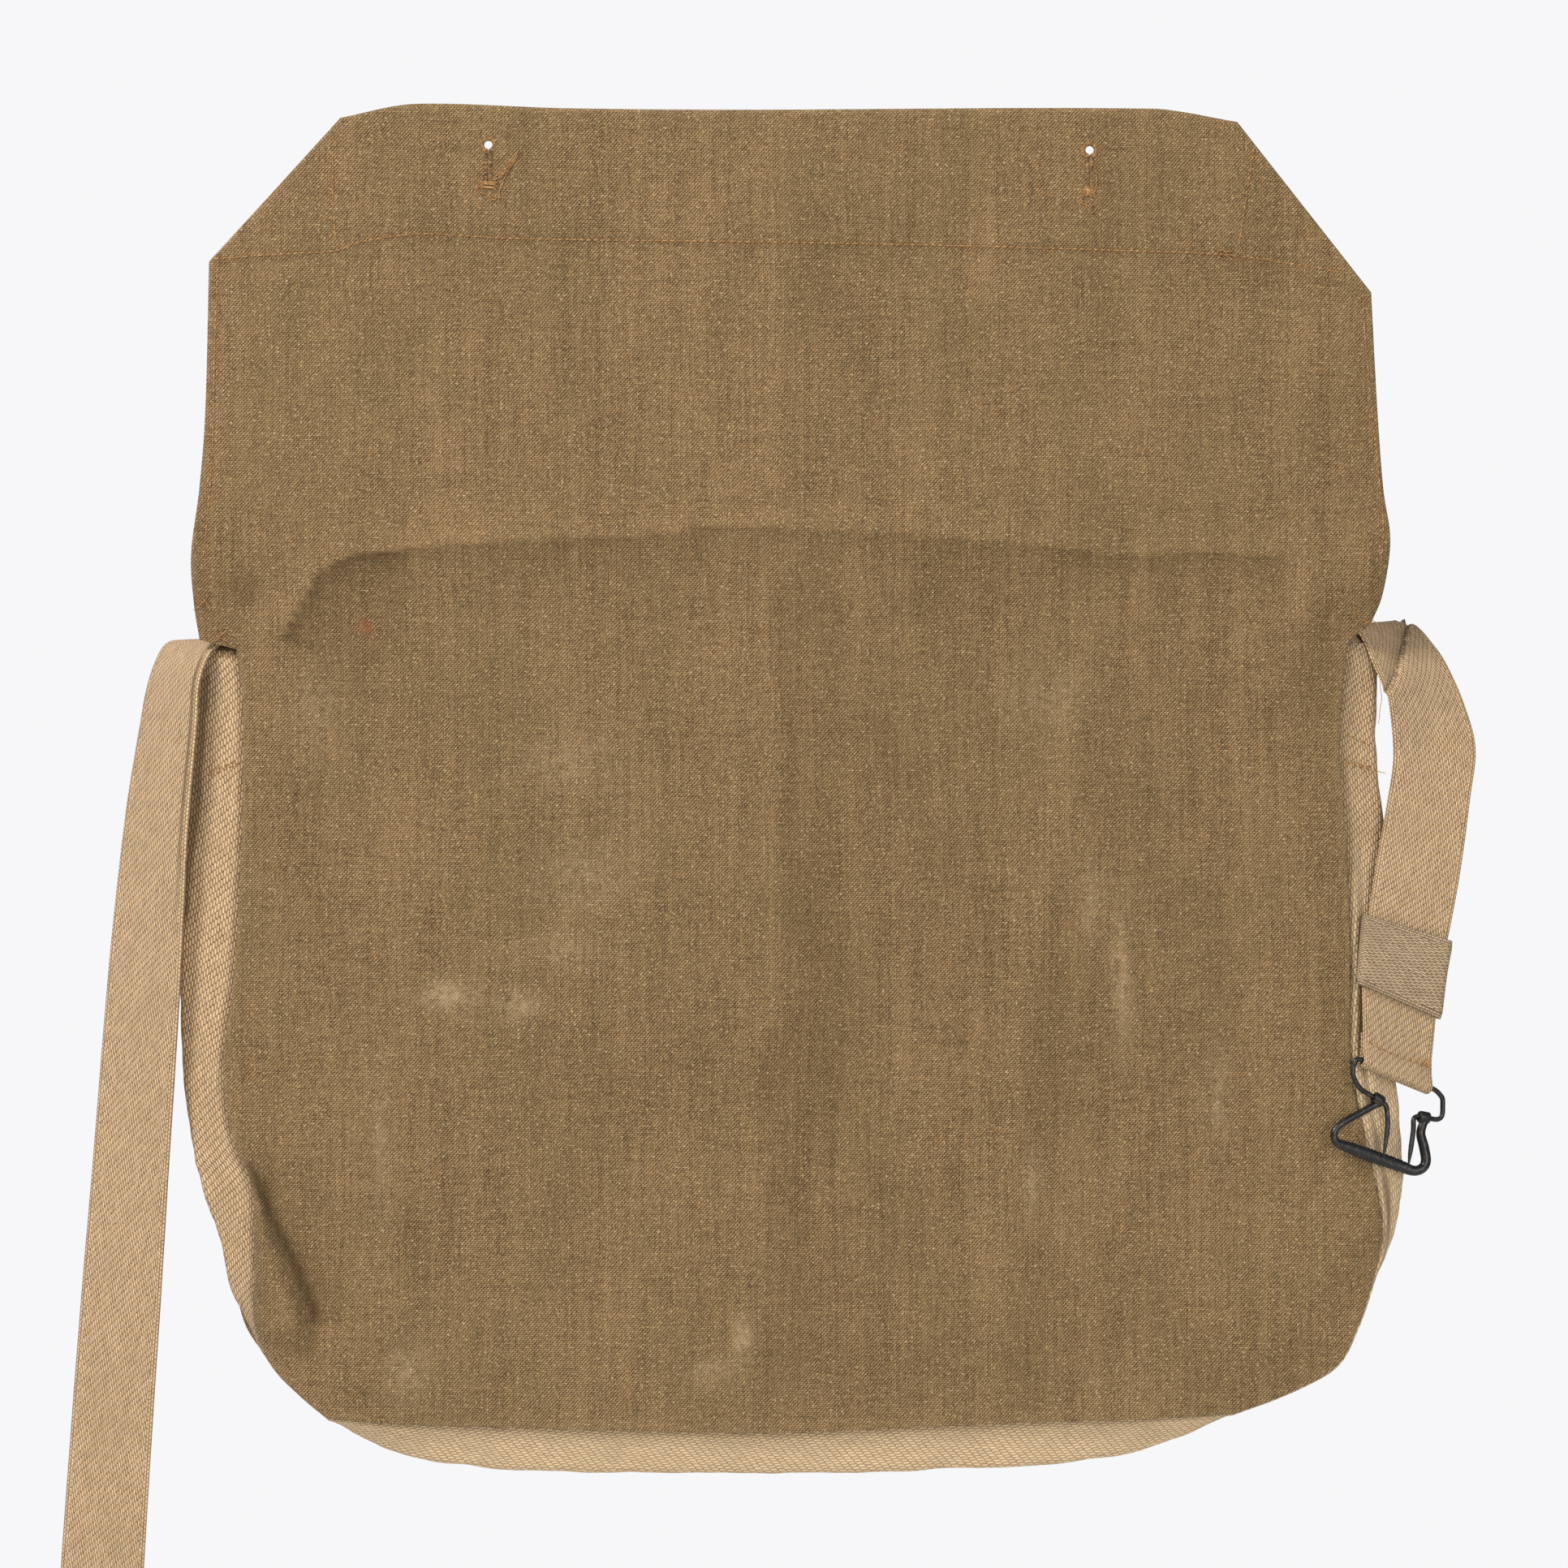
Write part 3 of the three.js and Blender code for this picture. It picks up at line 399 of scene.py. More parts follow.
def new_node(tree, kind, inputs, output=0, **settings):
    """Adds a shader node with its settings and inputs, and gives one of its outputs."""
    node = tree.nodes.new("ShaderNode" + kind)
    for key, value in settings.items():
        setattr(node, key, value)
    for key, value in inputs.items():
        put(tree, node.inputs[key], value)
    return Value(tree, node.outputs[output])


def put(tree, socket, value):
    """Links a value into an input, or sets a plain number or colour on the input itself."""
    if isinstance(value, Value):
        tree.links.new(value.socket, socket)
    else:
        socket.default_value = value


class Value:
    """An output of a material's node: sums and products of it are nodes too."""

    def __init__(self, tree, socket):
        self.tree = tree
        self.socket = socket

    def math(self, operation, second=0.0):
        return new_node(self.tree, "Math", {0: self, 1: second}, operation=operation)

    def __add__(self, other):
        return self.math("ADD", other)

    def __mul__(self, other):
        return self.math("MULTIPLY", other)

    def __truediv__(self, other):
        return self.math("DIVIDE", other)

    def __sub__(self, other):
        return self.math("SUBTRACT", other)

    def floor(self):
        return self.math("FLOOR")


def mix(share, first, second):
    inputs = {"Factor": share, "A": first, "B": second}
    return new_node(share.tree, "Mix", inputs, "Result", data_type="RGBA")


def mix_value(share, first, second):
    return new_node(share.tree, "Mix", {"Factor": share, "A": first, "B": second}, "Result")


def ramp(value, low, high, out_low=0.0, out_high=1.0):
    """Eases from one number to another while the value goes from low to high."""
    inputs = {"Value": value, "From Min": low, "From Max": high, "To Min": out_low, "To Max": out_high}
    return new_node(value.tree, "MapRange", inputs, "Result", interpolation_type="SMOOTHSTEP")


def vector(x, y, z=0.0):
    return new_node(x.tree, "CombineXYZ", {0: x, 1: y, 2: z})


def grain(place, scale, detail=2.0, rough=0.5):
    inputs = {"Scale": scale, "Detail": detail, "Roughness": rough, "Vector": place}
    return new_node(place.tree, "TexNoise", inputs, "Fac")


def bump(height, strength, distance, normal=None):
    inputs = {"Height": height, "Strength": strength, "Distance": distance}
    if normal is not None:
        inputs["Normal"] = normal
    return new_node(height.tree, "Bump", inputs)


def cloth_place(tree):
    """Millimetres across and along the cloth."""
    split = tree.nodes.new("ShaderNodeSeparateXYZ")
    put(tree, split.inputs[0], new_node(tree, "UVMap", {}, uv_map="cloth"))
    return Value(tree, split.outputs[0]), Value(tree, split.outputs[1])


def painted(tree, name):
    """A strength painted on the mesh's points."""
    return new_node(tree, "Attribute", {}, "Fac", attribute_name=name)


def half_wave(turns):
    """A round thread's height across it: 1 at its middle and 0 at both sides."""
    return (turns * math.pi).math("SINE").math("ABSOLUTE")


def parity(turns):
    """0 on even threads and 1 on odd ones."""
    return (turns.floor() * 0.5).math("FRACT") * 2.0


def weighted(parts):
    """Sum of values, each eased between its low and high and times its weight."""
    total = None
    for value, low, high, weight in parts:
        part = ramp(value, low, high) * weight
        total = part if total is None else total + part
    return total


def coated(colour, coats):
    """Lays coats of other colours over a colour, each with its own share."""
    for share, coat in coats:
        colour = mix(share, colour, srgb(*coat))
    return colour


def srgb(red, green, blue):
    """Linear colour from the eye's 0 to 255 numbers."""
    def linear(value):
        value /= 255
        return value / 12.92 if value <= 0.04045 else ((value + 0.055) / 1.055) ** 2.4
    return linear(red), linear(green), linear(blue), 1.0


def finish_material(name, roughness, paint, **constants):
    """A material whose colour, normal and perhaps roughness come from paint(tree)."""
    material = bpy.data.materials.new(name)
    material.use_nodes = True
    tree = material.node_tree
    inputs = tree.nodes["Principled BSDF"].inputs
    settings = {"Roughness": roughness, **{key.replace("_", " "): value for key, value in constants.items()}}
    for key, value in {**settings, **paint(tree)}.items():
        put(tree, inputs[key], value)
    return material


def canvas_tree(tree):
    """Plain-woven linen: warp and weft threads with slubs, streaks, wear and paler scuffs, and painted shade
    along its folds, creases and seams.
    """
    warp_pitch = 0.61
    weft_pitch = 0.68
    u, v = cloth_place(tree)
    wobble = grain(vector(u * 0.02, v * 0.02), 1.0) * 3.0
    a = u / warp_pitch + wobble
    b = v / weft_pitch + wobble
    warp_height = half_wave(a) * half_wave((b + parity(a)) * 0.5)
    weft_height = half_wave(b) * half_wave((a + 1.0 + parity(b)) * 0.5)
    height = warp_height.math("MAXIMUM", weft_height)
    warp_tone = grain(vector(a.floor() * 1.7, b * 0.05), 1.0, 2.0, 0.6)
    weft_tone = grain(vector(a * 0.05, b.floor() * 1.7), 1.0, 2.0, 0.6)
    thread_tone = mix_value(weft_height.math("GREATER_THAN", warp_height), warp_tone, weft_tone + 0.06)
    slub_warp = grain(vector(a * 0.46, b * 0.010, 4.0), 1.0, 3.0, 0.6)
    slub_weft = grain(vector(a * 0.022, b * 0.30, 9.0), 1.0, 3.0, 0.6)
    bands = grain(vector(u * 0.11, v * 0.005, 15.0), 1.0, 3.0, 0.6)
    cloud = grain(vector(u, v, 2.0), 0.022, 4.0, 0.6)
    speck = grain(vector(a, b, 6.0), 0.9, 2.0, 0.7)
    tone = weighted([
        (thread_tone, 0.28, 0.72, 0.18),
        (slub_warp * 0.66 + slub_weft * 0.34, 0.36, 0.64, 0.10),
        (cloud, 0.3, 0.7, 0.05),
        (bands, 0.32, 0.68, 0.065),
        (speck, 0.3, 0.7, 0.28),
    ]) + height * 0.38
    green = grain(vector(u * 1.3, v * 0.6, 3.0), 0.02, 3.0, 0.55)
    fleck = grain(vector(a * 0.6, b * 0.9, 12.0), 1.0, 1.0)
    worn = painted(tree, "worn") * ramp(grain(vector(u, v, 1.0), 0.35, 3.0, 0.7), 0.30, 0.65)
    cloth = mix(ramp(tone, 0.12, 0.98), srgb(60, 44, 25), srgb(164, 133, 93))
    colour = coated(cloth, [
        (ramp(green, 0.42, 0.68) * 0.22, (97, 84, 52)),
        (ramp(height, 0.45, 0.02, 0.0, 0.72), (48, 35, 18)),
        (ramp(fleck, 0.60, 0.74, 0.0, 0.68), (196, 174, 134)),
        (worn * 0.62, (196, 170, 132)),
        # Painted shade: darker along folds, creases and seams where shade falls.
        (painted(tree, "soiled") * 0.8, (62, 47, 26)),
        (painted(tree, "reddened") * 0.5, (150, 64, 40)),
    ])
    soft = bump(grain(vector(u, v, 7.0), 0.06, 3.0, 0.55), 0.4, 0.0022)
    return {"Base Color": colour, "Normal": bump(height + speck * 0.35, 0.9, 0.00022, soft)}


def webbing_tree(light, dark, width, steep=1.0, greyed=0.0):
    """Coarse twill webbing: rows of slanting floats, with a ribbed selvage at both edges."""
    thread_pitch = 0.72
    float_length = 2.8
    step = 0.28
    rib_pitch = 0.9
    rib_length = 1.5

    def build(tree):
        u, v = cloth_place(tree)
        wobble = grain(vector(u * 0.10, v * 0.05), 1.0)
        a = (u + v * (-0.06 * steep)) / thread_pitch + wobble * 0.7
        b = v / float_length + (a.floor() * (-step * steep) + wobble * 0.5)
        along = b.math("FRACT")
        over = ramp(along, 0.0, 0.16) * ramp(along, 0.98, 0.70)
        slant = a + (along - 0.4) * (0.34 * steep)
        floats = half_wave(slant).math("POWER", 0.7) * over
        body = floats.math("MAXIMUM", half_wave(b * 4.0) * 0.26)
        rib_turns = u / rib_pitch
        rib_along = v / rib_length + parity(rib_turns) * 0.5
        rib = half_wave(rib_turns) * half_wave(rib_along).math("POWER", 0.5)
        edge = u.math("MINIMUM", u * -1.0 + width)
        height = mix_value(edge.math("LESS_THAN", 2 * rib_pitch), body, rib)
        each = grain(vector(a.floor() * 3.7, b.floor() * 1.9), 1.0, 1.0)
        cloud = grain(vector(u, v, 3.0), 0.04, 3.0, 0.6)
        fibre = grain(vector(u * 2.6, v * 0.7, 5.0), 1.2, 3.0, 0.65)
        tone = weighted([(height, 0.05, 0.80, 0.60), (each, 0.3, 0.7, 0.20), (fibre, 0.3, 0.7, 0.24)])
        colour = coated(mix(tone, srgb(*dark), srgb(*light)), [
            (ramp(cloud, 0.45, 0.75) * (0.24 + greyed), (160, 136, 100)),
            # Painted light: paler where the gusset's walls and bottom stand in shade.
            (painted(tree, "painted_light") * 0.6, (252, 226, 182)),
            # Painted shade: darker along seams, pleats, folds and beside the straps.
            (painted(tree, "soiled") * 0.75, (90, 70, 44)),
        ])
        soft = bump(grain(vector(u, v, 8.0), 0.12), 0.25, 0.0015)
        return {"Base Color": colour, "Normal": bump(height + fibre * 0.3, 1.0, 0.00055, soft)}
    return build


def grained_tree(dark, light, size, detail, strength, distance):
    """A hard or waxed finish with a fine grain between two colours."""
    def build(tree):
        tone = grain(new_node(tree, "TexCoord", {}, "Object"), size, detail, 0.6)
        colour = mix(ramp(tone, 0.3, 0.7), srgb(*dark), srgb(*light))
        return {"Base Color": colour, "Normal": bump(tone, strength, distance)}
    return build


def steel_tree(tree):
    """Black paint on steel wire, rubbed to brown metal where it wears."""
    place = new_node(tree, "TexCoord", {}, "Object")
    patch = grain(place, 420.0, 4.0, 0.65)
    fine = grain(place, 1800.0, 3.0, 0.6)
    edge = new_node(tree, "NewGeometry", {}, "Pointiness")
    wear = ramp(patch, 0.50, 0.66) * ramp(edge, 0.49, 0.56, 0.35, 1.0)
    painted_metal = mix(wear, srgb(22, 22, 23), srgb(70, 58, 48))
    colour = coated(painted_metal, [(ramp(fine, 0.6, 0.8, 0.0, 0.3), (70, 70, 72))])
    return {
        "Base Color": colour,
        "Roughness": ramp(fine, 0.2, 0.8, 0.20, 0.44),
        "Normal": bump(patch * 0.6 + fine * 0.3, 0.45, 0.00035),
    }


cloth_sheen = {"Sheen_Roughness": 0.5, "Specular_IOR_Level": 0.12}
webbing_look = {"Sheen_Weight": 0.10, **cloth_sheen}
thread_grain = (900.0, 2.0, 0.5, 0.0002)
button_grain = (260.0, 4.0, 0.2, 0.0004)
webbing_paint = webbing_tree((232, 199, 156), (92, 64, 34), webbing_width)
keeper_paint = webbing_tree((216, 188, 152), (74, 56, 34), keeper_width, steep=-1.0, greyed=0.12)
canvas = finish_material("canvas", 0.92, canvas_tree, Sheen_Weight=0.08, **cloth_sheen)
webbing = finish_material("webbing", 0.9, webbing_paint, **webbing_look)
keeper_cloth = finish_material("keeper_webbing", 0.9, keeper_paint, **webbing_look)
thread = finish_material("thread", 0.75, grained_tree((128, 88, 46), (186, 142, 88), *thread_grain))
dull_thread = finish_material("dull_thread", 0.75, grained_tree((78, 58, 34), (140, 108, 70), *thread_grain))
steel = finish_material("black_steel", 0.38, steel_tree, Metallic=0.25)
button_finish = finish_material("button", 0.42, grained_tree((74, 54, 34), (118, 90, 58), *button_grain))

# The panels' outlines


def flap_side(side, places):
    """Flap edge from its top corner, straight along the cut corner and smooth below it."""
    lines = (flap_rows[side] * flap_width, -flap_rows[side + "_down"] * flap_rise)
    below = np.maximum(places - 1, 0)
    return [np.where(places < 1, np.interp(places, [0, 1], line[:2]), spline(line[1:], below))
            for line in lines]


def body_side(side, edge, places, drop=0.0):
    x = spline(body_rows[f"{side}_{edge}"], places) * body_width
    z = mouth_z - spline(body_rows[side + "_down"], places) * body_height
    return x, z - drop * np.clip(1 - places, 0, 1)


def line_z(rows, name, size, base, across):
    """Height of a line across the panel, on a smooth curve through an edge table's rows."""
    places = np.interp(across, rows["across"], np.arange(len(rows["across"])))
    return base - spline(rows[name], places) * size


def spread(left_lines, right_lines, across):
    """Grids of places across a panel, from its left edge's lines to its right edge's."""
    return [left[:, None] + (right - left)[:, None] * across for left, right in zip(left_lines, right_lines)]


def edge_distances(x, z):
    """Distances of a grid's points from its left, right, top and bottom edges."""
    return x - x[:, :1], x[:, -1:] - x, np.maximum(z[:1] - z, 0), np.maximum(z - z[-1:], 0)


def hemmed(distance, width):
    """1 in a hem of this width and 0 past it."""
    return 1 - smoothstep(distance, width - 0.6, width + 0.6)


def crease(x, z, points, height, reach_left, reach_right, fade=18.0, wander=2.0, seed=0.0, power=1.2):
    """A fold along a line of photograph pixels: a ridge that falls off to either side of the line."""
    line = np.array([from_photo(*point) for point in points])
    x = x + wander * noise_at(x, z, 22, seed)
    z = z + wander * noise_at(x, z, 26, seed + 0.5)
    best = np.full(x.shape, 1e9)
    result = np.zeros(x.shape)
    lengths = np.linalg.norm(np.diff(line, axis=0), axis=1)
    total = lengths.sum()
    start = 0.0
    for (x0, z0), (x1, z1), length in zip(line[:-1], line[1:], lengths):
        dx, dz = (x1 - x0) / length, (z1 - z0) / length
        along = (x - x0) * dx + (z - z0) * dz
        inside = np.clip(along, 0, length)
        away = np.hypot(x - x0 - dx * inside, z - z0 - dz * inside)
        side = (x - x0) * dz - (z - z0) * dx
        reach = np.where(side > 0, reach_right, reach_left)
        place = start + inside
        ends = smoothstep(np.minimum(place, total - place), 0, fade)
        value = height * np.exp(-(away / reach) ** power) * ends
        result = np.where(away < best, value, result)
        best = np.minimum(away, best)
        start += length
    return result


# Folds of the back panel: pixels of the photograph, height and reach to the left and right in millimetres,
# fade at both ends, wander and seed
mouth_fold = [(340, 800), (363, 758), (396, 708), (438, 681), (520, 676), (700, 668), (900, 650), (1100, 660),
              (1350, 680), (1600, 690)]
middle_fold = [(950, 655), (962, 900), (965, 1190), (938, 1300), (943, 1420), (944, 1600), (950, 1745)]
slant_fold = [(1352, 700), (1316, 1000), (1268, 1240), (1244, 1500), (1248, 1740)]
low_pinch = [(444, 1738), (458, 1700), (478, 1664), (500, 1650)]
mouth_dent = [(318, 700), (308, 730), (312, 765)]
back_creases = [
    (mouth_fold, 5.2, 6, 17, 12, 1.6, 2.0),
    (middle_fold, 4.2, 26, 4.5, 25, 1.0, 3.0),
    ([(962, 140), (958, 400), (955, 650)], 2.0, 20, 8, 20, 1.0, 3.2),
    (slant_fold, 3.6, 26, 8, 25, 3.0, 4.0),
    ([(1374, 1085), (1412, 1290)], 1.6, 3, 8, 12, 0.6, 8.0),
    ([(470, 1330), (476, 1450), (488, 1560), (520, 1680)], 2.0, 7, 14, 20, 2.0, 6.0),
    ([(500, 1490), (548, 1560), (600, 1640)], -1.6, 8, 8, 14, 1.0, 6.4),
    (low_pinch, -1.3, 2.2, 2.2, 6, 0.3, 6.5),
    ([(454, 1738), (468, 1702), (488, 1674), (512, 1664)], 1.2, 3, 5, 6, 0.3, 6.5),
    ([(300, 760), (330, 840), (352, 1000), (340, 1180)], 1.8, 7, 14, 20, 2.0, 7.0),
    (mouth_dent, -2.2, 3, 4, 8, 1.0, 7.2),
    ([(860, 330), (905, 560), (935, 640)], 1.8, 9, 7, 20, 3.0, 7.5),
    ([(905, 610), (930, 655)], -1.6, 4, 6, 6, 0.6, 7.6),
    ([(1690, 690), (1600, 760), (1560, 900)], 2.0, 9, 12, 20, 3.0, 7.8),
    ([(1500, 1290), (1506, 1400), (1496, 1560)], 1.4, 6, 10, 20, 1.5, 8.5),
    ([(1690, 1500), (1620, 1600), (1520, 1700)], 2.6, 10, 14, 14, 3.0, 8.8),
    ([(620, 720), (640, 900), (620, 1100), (650, 1300)], 1.6, 22, 22, 40, 6.0, 9.5),
    ([(1560, 360), (1580, 520), (1600, 640)], 1.2, 12, 12, 20, 3.0, 9.8),
]
# The deep fold at the lower left corner, which starts at the seam
corner_creases = [
    ([(298, 1440), (314, 1490), (338, 1550), (360, 1606), (376, 1660)], 8.0, 2.6, 14, 9, 0.4, 5.0),
    ([(313, 1452), (331, 1497), (361, 1554), (384, 1608), (398, 1665)], -3.4, 10, 2.2, 9, 0.4, 5.0),
    ([(300, 1560), (330, 1640), (350, 1690)], 1.6, 4, 4, 6, 0.5, 5.2),
]
right_seam = [(1693, 1436), (1700, 1475), (1702, 1505), (1700, 1530), (1694, 1560)]
corner_valley = [(303, 1424), (329, 1490), (345, 1524), (363, 1560), (382, 1606), (392, 1640)]
# Lines of painted shade on the back panel, along its folds, creases and right seam, with their strength in
# place of a height, and whether they are uneven
painted_shade_lines = [
    (corner_valley, 1.3, 1.5, 1.0, 12, 0.4, 5.0, False),
    (corner_valley, 0.42, 5, 3.5, 3, 0.4, 5.0, False),
    (mouth_fold, 0.40, 0.5, 1.6, 12, 1.6, 2.0, True),
    (mouth_fold, 0.17, 0.5, 15, 12, 1.6, 2.0, False),
    (middle_fold, 0.20, 24, 0.6, 25, 1.0, 3.0, False),
    (mouth_fold[:5], 0.45, 0.6, 4.5, 9, 1.6, 2.0, False),
    (mouth_dent, 0.35, 3.5, 4, 8, 1.0, 7.2, False),
    (slant_fold, 0.10, 20, 0.8, 25, 3.0, 4.0, False),
    (low_pinch, 0.30, 1.4, 1.4, 6, 0.3, 6.5, False),
    (right_seam, 0.42, 1.2, 1.6, 6, 0.3, 6.5, False),
]


def noise_sum(x, z, layers):
    """Smooth noises of several heights, sizes and seeds, added up."""
    return sum(height * noise_at(x, z, size, seed) for height, size, seed in layers)


def back_folds(x, z, inside, close, tight):
    """How far the back panel stands towards the viewer, in millimetres, away from its seams."""
    stand = noise_sum(x, z, [(3.2, 95, 1.5), (1.7, 38, 5.5), (0.36, 13, 9.5)]) * inside
    for rows, room in ((back_creases, close), (corner_creases, tight)):
        for row in rows:
            stand += crease(x, z, *row) * room
    return stand


# Painted shade along the back panel's folds, creases and right seam, where shade falls.
def painted_fold_shade(x, z):
    soiled = 0
    for *row, uneven in painted_shade_lines:
        strength = 0.4 + 0.6 * smoothstep(noise_at(x, z, 30, 61.0), -0.3, 0.3) if uneven else 1.0
        soiled = soiled + crease(x, z, *row) * strength
    return soiled


scuffs = [
    ((550, 1225), (30, 16), 0.9), ((640, 1240), (26, 14), 0.7), ((1382, 1200), (12, 90), 0.5),
    ((915, 1650), (10, 26), 0.8), ((470, 1400), (12, 90), 0.35), ((1270, 1460), (8, 40), 0.6),
    ((1500, 1350), (14, 70), 0.35), ((700, 940), (60, 40), 0.3), ((720, 1080), (60, 45), 0.3),
    ((1290, 860), (60, 40), 0.25), ((700, 1170), (50, 20), 0.35), ((390, 880), (30, 60), 0.25),
    ((500, 1690), (26, 34), 0.45), ((880, 1690), (26, 16), 0.4), ((1345, 1110), (14, 40), 0.5),
]


def scuffed(x, z):
    worn = np.zeros(x.shape)
    for (px, py), (wide, high), strength in scuffs:
        cx, cz = from_photo(px, py)
        away = np.hypot((x - cx) / (wide / PHOTO_SCALE), (z - cz) / (high / PHOTO_SCALE))
        worn = np.maximum(worn, strength * np.exp(-away ** 2))
    return worn


def edge_round(from_edge):
    """Share of the cloth's thickness near its outer edges, so that folded edges are round."""
    return 0.45 + 0.55 * np.sqrt(np.clip(from_edge / 1.1, 0, 1))


def cloth_thickness_at(layers):
    return cloth_thickness + (hem_thickness - cloth_thickness) * layers


def across_shares(count, width):
    """Shares across a panel, closer together at its folded edges."""
    edge = np.array([0, 0.5, 1.2, 2.6, side_hem, side_hem + 1.2]) / width
    middle = np.linspace(edge[-1], 1 - edge[-1], count)[1:-1]
    return np.concatenate([edge, middle, (1 - edge)[::-1]])


def back_panel():
    """The back panel and the flap, one cloth: rows of points down its sides, columns across it."""
    flap_places = np.concatenate([[0, 0.01, 0.03], np.linspace(0.06, 0.97, 20), np.linspace(1, 6, 66)])
    body_places = np.concatenate([np.linspace(0, 12.4, 112), [12.6, 12.8, 12.9, 12.96, last_row]])
    across = across_shares(150, flap_width)[None, :]
    sides = ("left", "right")
    x_flap, straight = spread(*(flap_side(side, flap_places) for side in sides), across)
    top = line_z(top_edge, "down", flap_rise, 0, across)
    hem = line_z(hem_line, "down", flap_rise, 0, across)
    place = flap_places[:, None]
    second = spread(*(flap_side(side, np.array([1.0])) for side in sides), across)[1]
    bend = (hem - second) * np.clip(2 - place, 0, 1)
    z_flap = np.where(place < 1, top + (hem - top) * place, straight + bend)
    x_body, z_body = spread(*(body_side(side, "near", body_places) for side in sides), across)
    low = line_z(bottom_edge, "near", body_height, mouth_z, across)
    z_body = z_body + (low - z_body[-1:]) * smoothstep(body_places, 8, last_row)[:, None]
    x = np.concatenate([x_flap, x_body])
    z = np.concatenate([z_flap, z_body])
    left, right, top_gap, low_gap = edge_distances(x, z)
    to_side = least(left, right)
    to_seam = least(to_side, low_gap)
    inside = smoothstep(to_seam, side_hem, 34) * (smoothstep(top_gap, 6, 60) * 0.9 + 0.1)
    close = smoothstep(to_seam, 1.5, 10) * (smoothstep(top_gap, 6, 40) * 0.9 + 0.1)
    stand = back_folds(x, z, inside, close, smoothstep(to_seam, 0.2, 3.5))
    over_hem = z - line_z(hem_line, "down", flap_rise, 0, np.broadcast_to(across, x.shape))
    layers = np.maximum(smoothstep(over_hem, -0.6, 0.6), hemmed(to_seam, side_hem))
    pucker = 0.16 * np.sin(z / 1.25 + 3 * noise_at(x, z, 9, 4.0)) * bell(to_side, 3, 2.6)
    pucker += 0.14 * np.sin(x / 1.25 + 3 * noise_at(x, z, 9, 6.0)) * bell(over_hem, 1.5, 2.2)
    groove = -0.30 * bell(over_hem, 1.2, 0.9) * (left > 2)
    round_off = edge_round(least(to_seam, top_gap))
    front_y = hem_thickness / 2 * (1 - round_off) - stand - pucker - groove
    back_y = cloth_thickness_at(layers) * np.minimum(1, round_off + 0.2) - stand - pucker
    front = np.stack([x, front_y, z], -1)
    back = np.stack([x, np.maximum(back_y, front_y + 0.25), z], -1)
    bow = 2.4 * noise_at(x, z, 130, 21.0)
    uvs = np.stack([x + 0.6 * bow, z + bow], -1)
    worn = np.maximum(scuffed(x, z), 0.32 * np.exp(-least(to_seam, top_gap) / 1.2))
    near_mouth = bell(z, from_photo(0, 740)[1], 14) * np.exp(-to_side / 12)
    stain_x, stain_z = from_photo(451, 773)
    stain = np.exp(-(np.hypot((x - stain_x) / 1.6, (z - stain_z) / 3.0)) ** 2)
    # Painted shade: a dark line along the hem's edge under its stitch row.
    hem_edge_shade = 0.28 * bell(over_hem, 0.2, 0.7) * (to_side > 2)
    # Painted shade along the folds, creases, hem edge and right seam, and darker near the sides just above
    # the mouth.
    soiled = np.clip(0.35 * near_mouth + hem_edge_shade + painted_fold_shade(x, z), 0, 1)
    values = {"worn": worn, "soiled": soiled, "reddened": stain}
    panel = shell("back_panel_cloth", front, back, canvas, uvs, values)
    cut_buttonholes(panel)
    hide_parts("back_panel")
    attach(panel, "bag")
    return panel


def cut_buttonholes(panel):
    """Cuts the eyelets and slits through the flap's hem."""
    radius = 0.74 * eyelet_diameter / 2
    half = slit_width / 6
    open_from = math.asin(half / radius)
    for side, down in buttonholes:
        x, z = side * flap_width, -down * flap_rise
        turns = [-math.pi / 2 + open_from + (2 * math.pi - 2 * open_from) * k / 24 for k in range(25)]
        outline = [(x + radius * math.cos(turn), z + radius * math.sin(turn)) for turn in turns]
        low = z - eyelet_diameter / 2 - slit_length
        outline += [(x - half * 0.4, low), (x + half * 0.4, low)]
        count = len(outline)
        points = [(a, y, b) for y in (-4, 8) for a, b in outline]
        cutter = add_object("cutter", points, tube_faces(2, count), canvas)
        fix_normals(cutter)
        apply_boolean(panel, cutter, "DIFFERENCE")


back = back_panel()

# The gusset and the front panel


SIDE_STEPS = 150
BOTTOM_STEPS = 150
top_reach = 1.6


def seam(edge):
    """The seam's line: down the left side, along the bottom and up the right side."""
    places = np.linspace(0, last_row, SIDE_STEPS)[:-1]
    left, right = (np.stack(body_side(side, edge, places, gusset_drop), -1) for side in ("left", "right"))
    x0, x1 = (body_rows[f"{side}_{edge}"][-1] * body_width for side in ("left", "right"))
    across = np.linspace(0, 1, BOTTOM_STEPS)
    low = line_z(bottom_edge, edge, body_height, mouth_z, across)
    line = np.concatenate([left, np.stack([x0 + (x1 - x0) * across, low], -1), right[::-1]])
    line[[0, -1], 1] += top_reach
    return line


def even(values, rounds):
    """Averages each value with its neighbours, several times over."""
    for _ in range(rounds):
        ends = np.concatenate([values[:1], values, values[-1:]])
        values = (ends[:-2] + 2 * ends[1:-1] + ends[2:]) / 4
    return values


def inward(line):
    """Directions square to the seam's line, towards the bag's middle."""
    ahead = np.concatenate([line[1:], line[-1:]])
    behind = np.concatenate([line[:1], line[:-1]])
    step = unit(ahead - behind)
    return unit(even(np.stack([-step[:, 1], step[:, 0]], -1), 3))


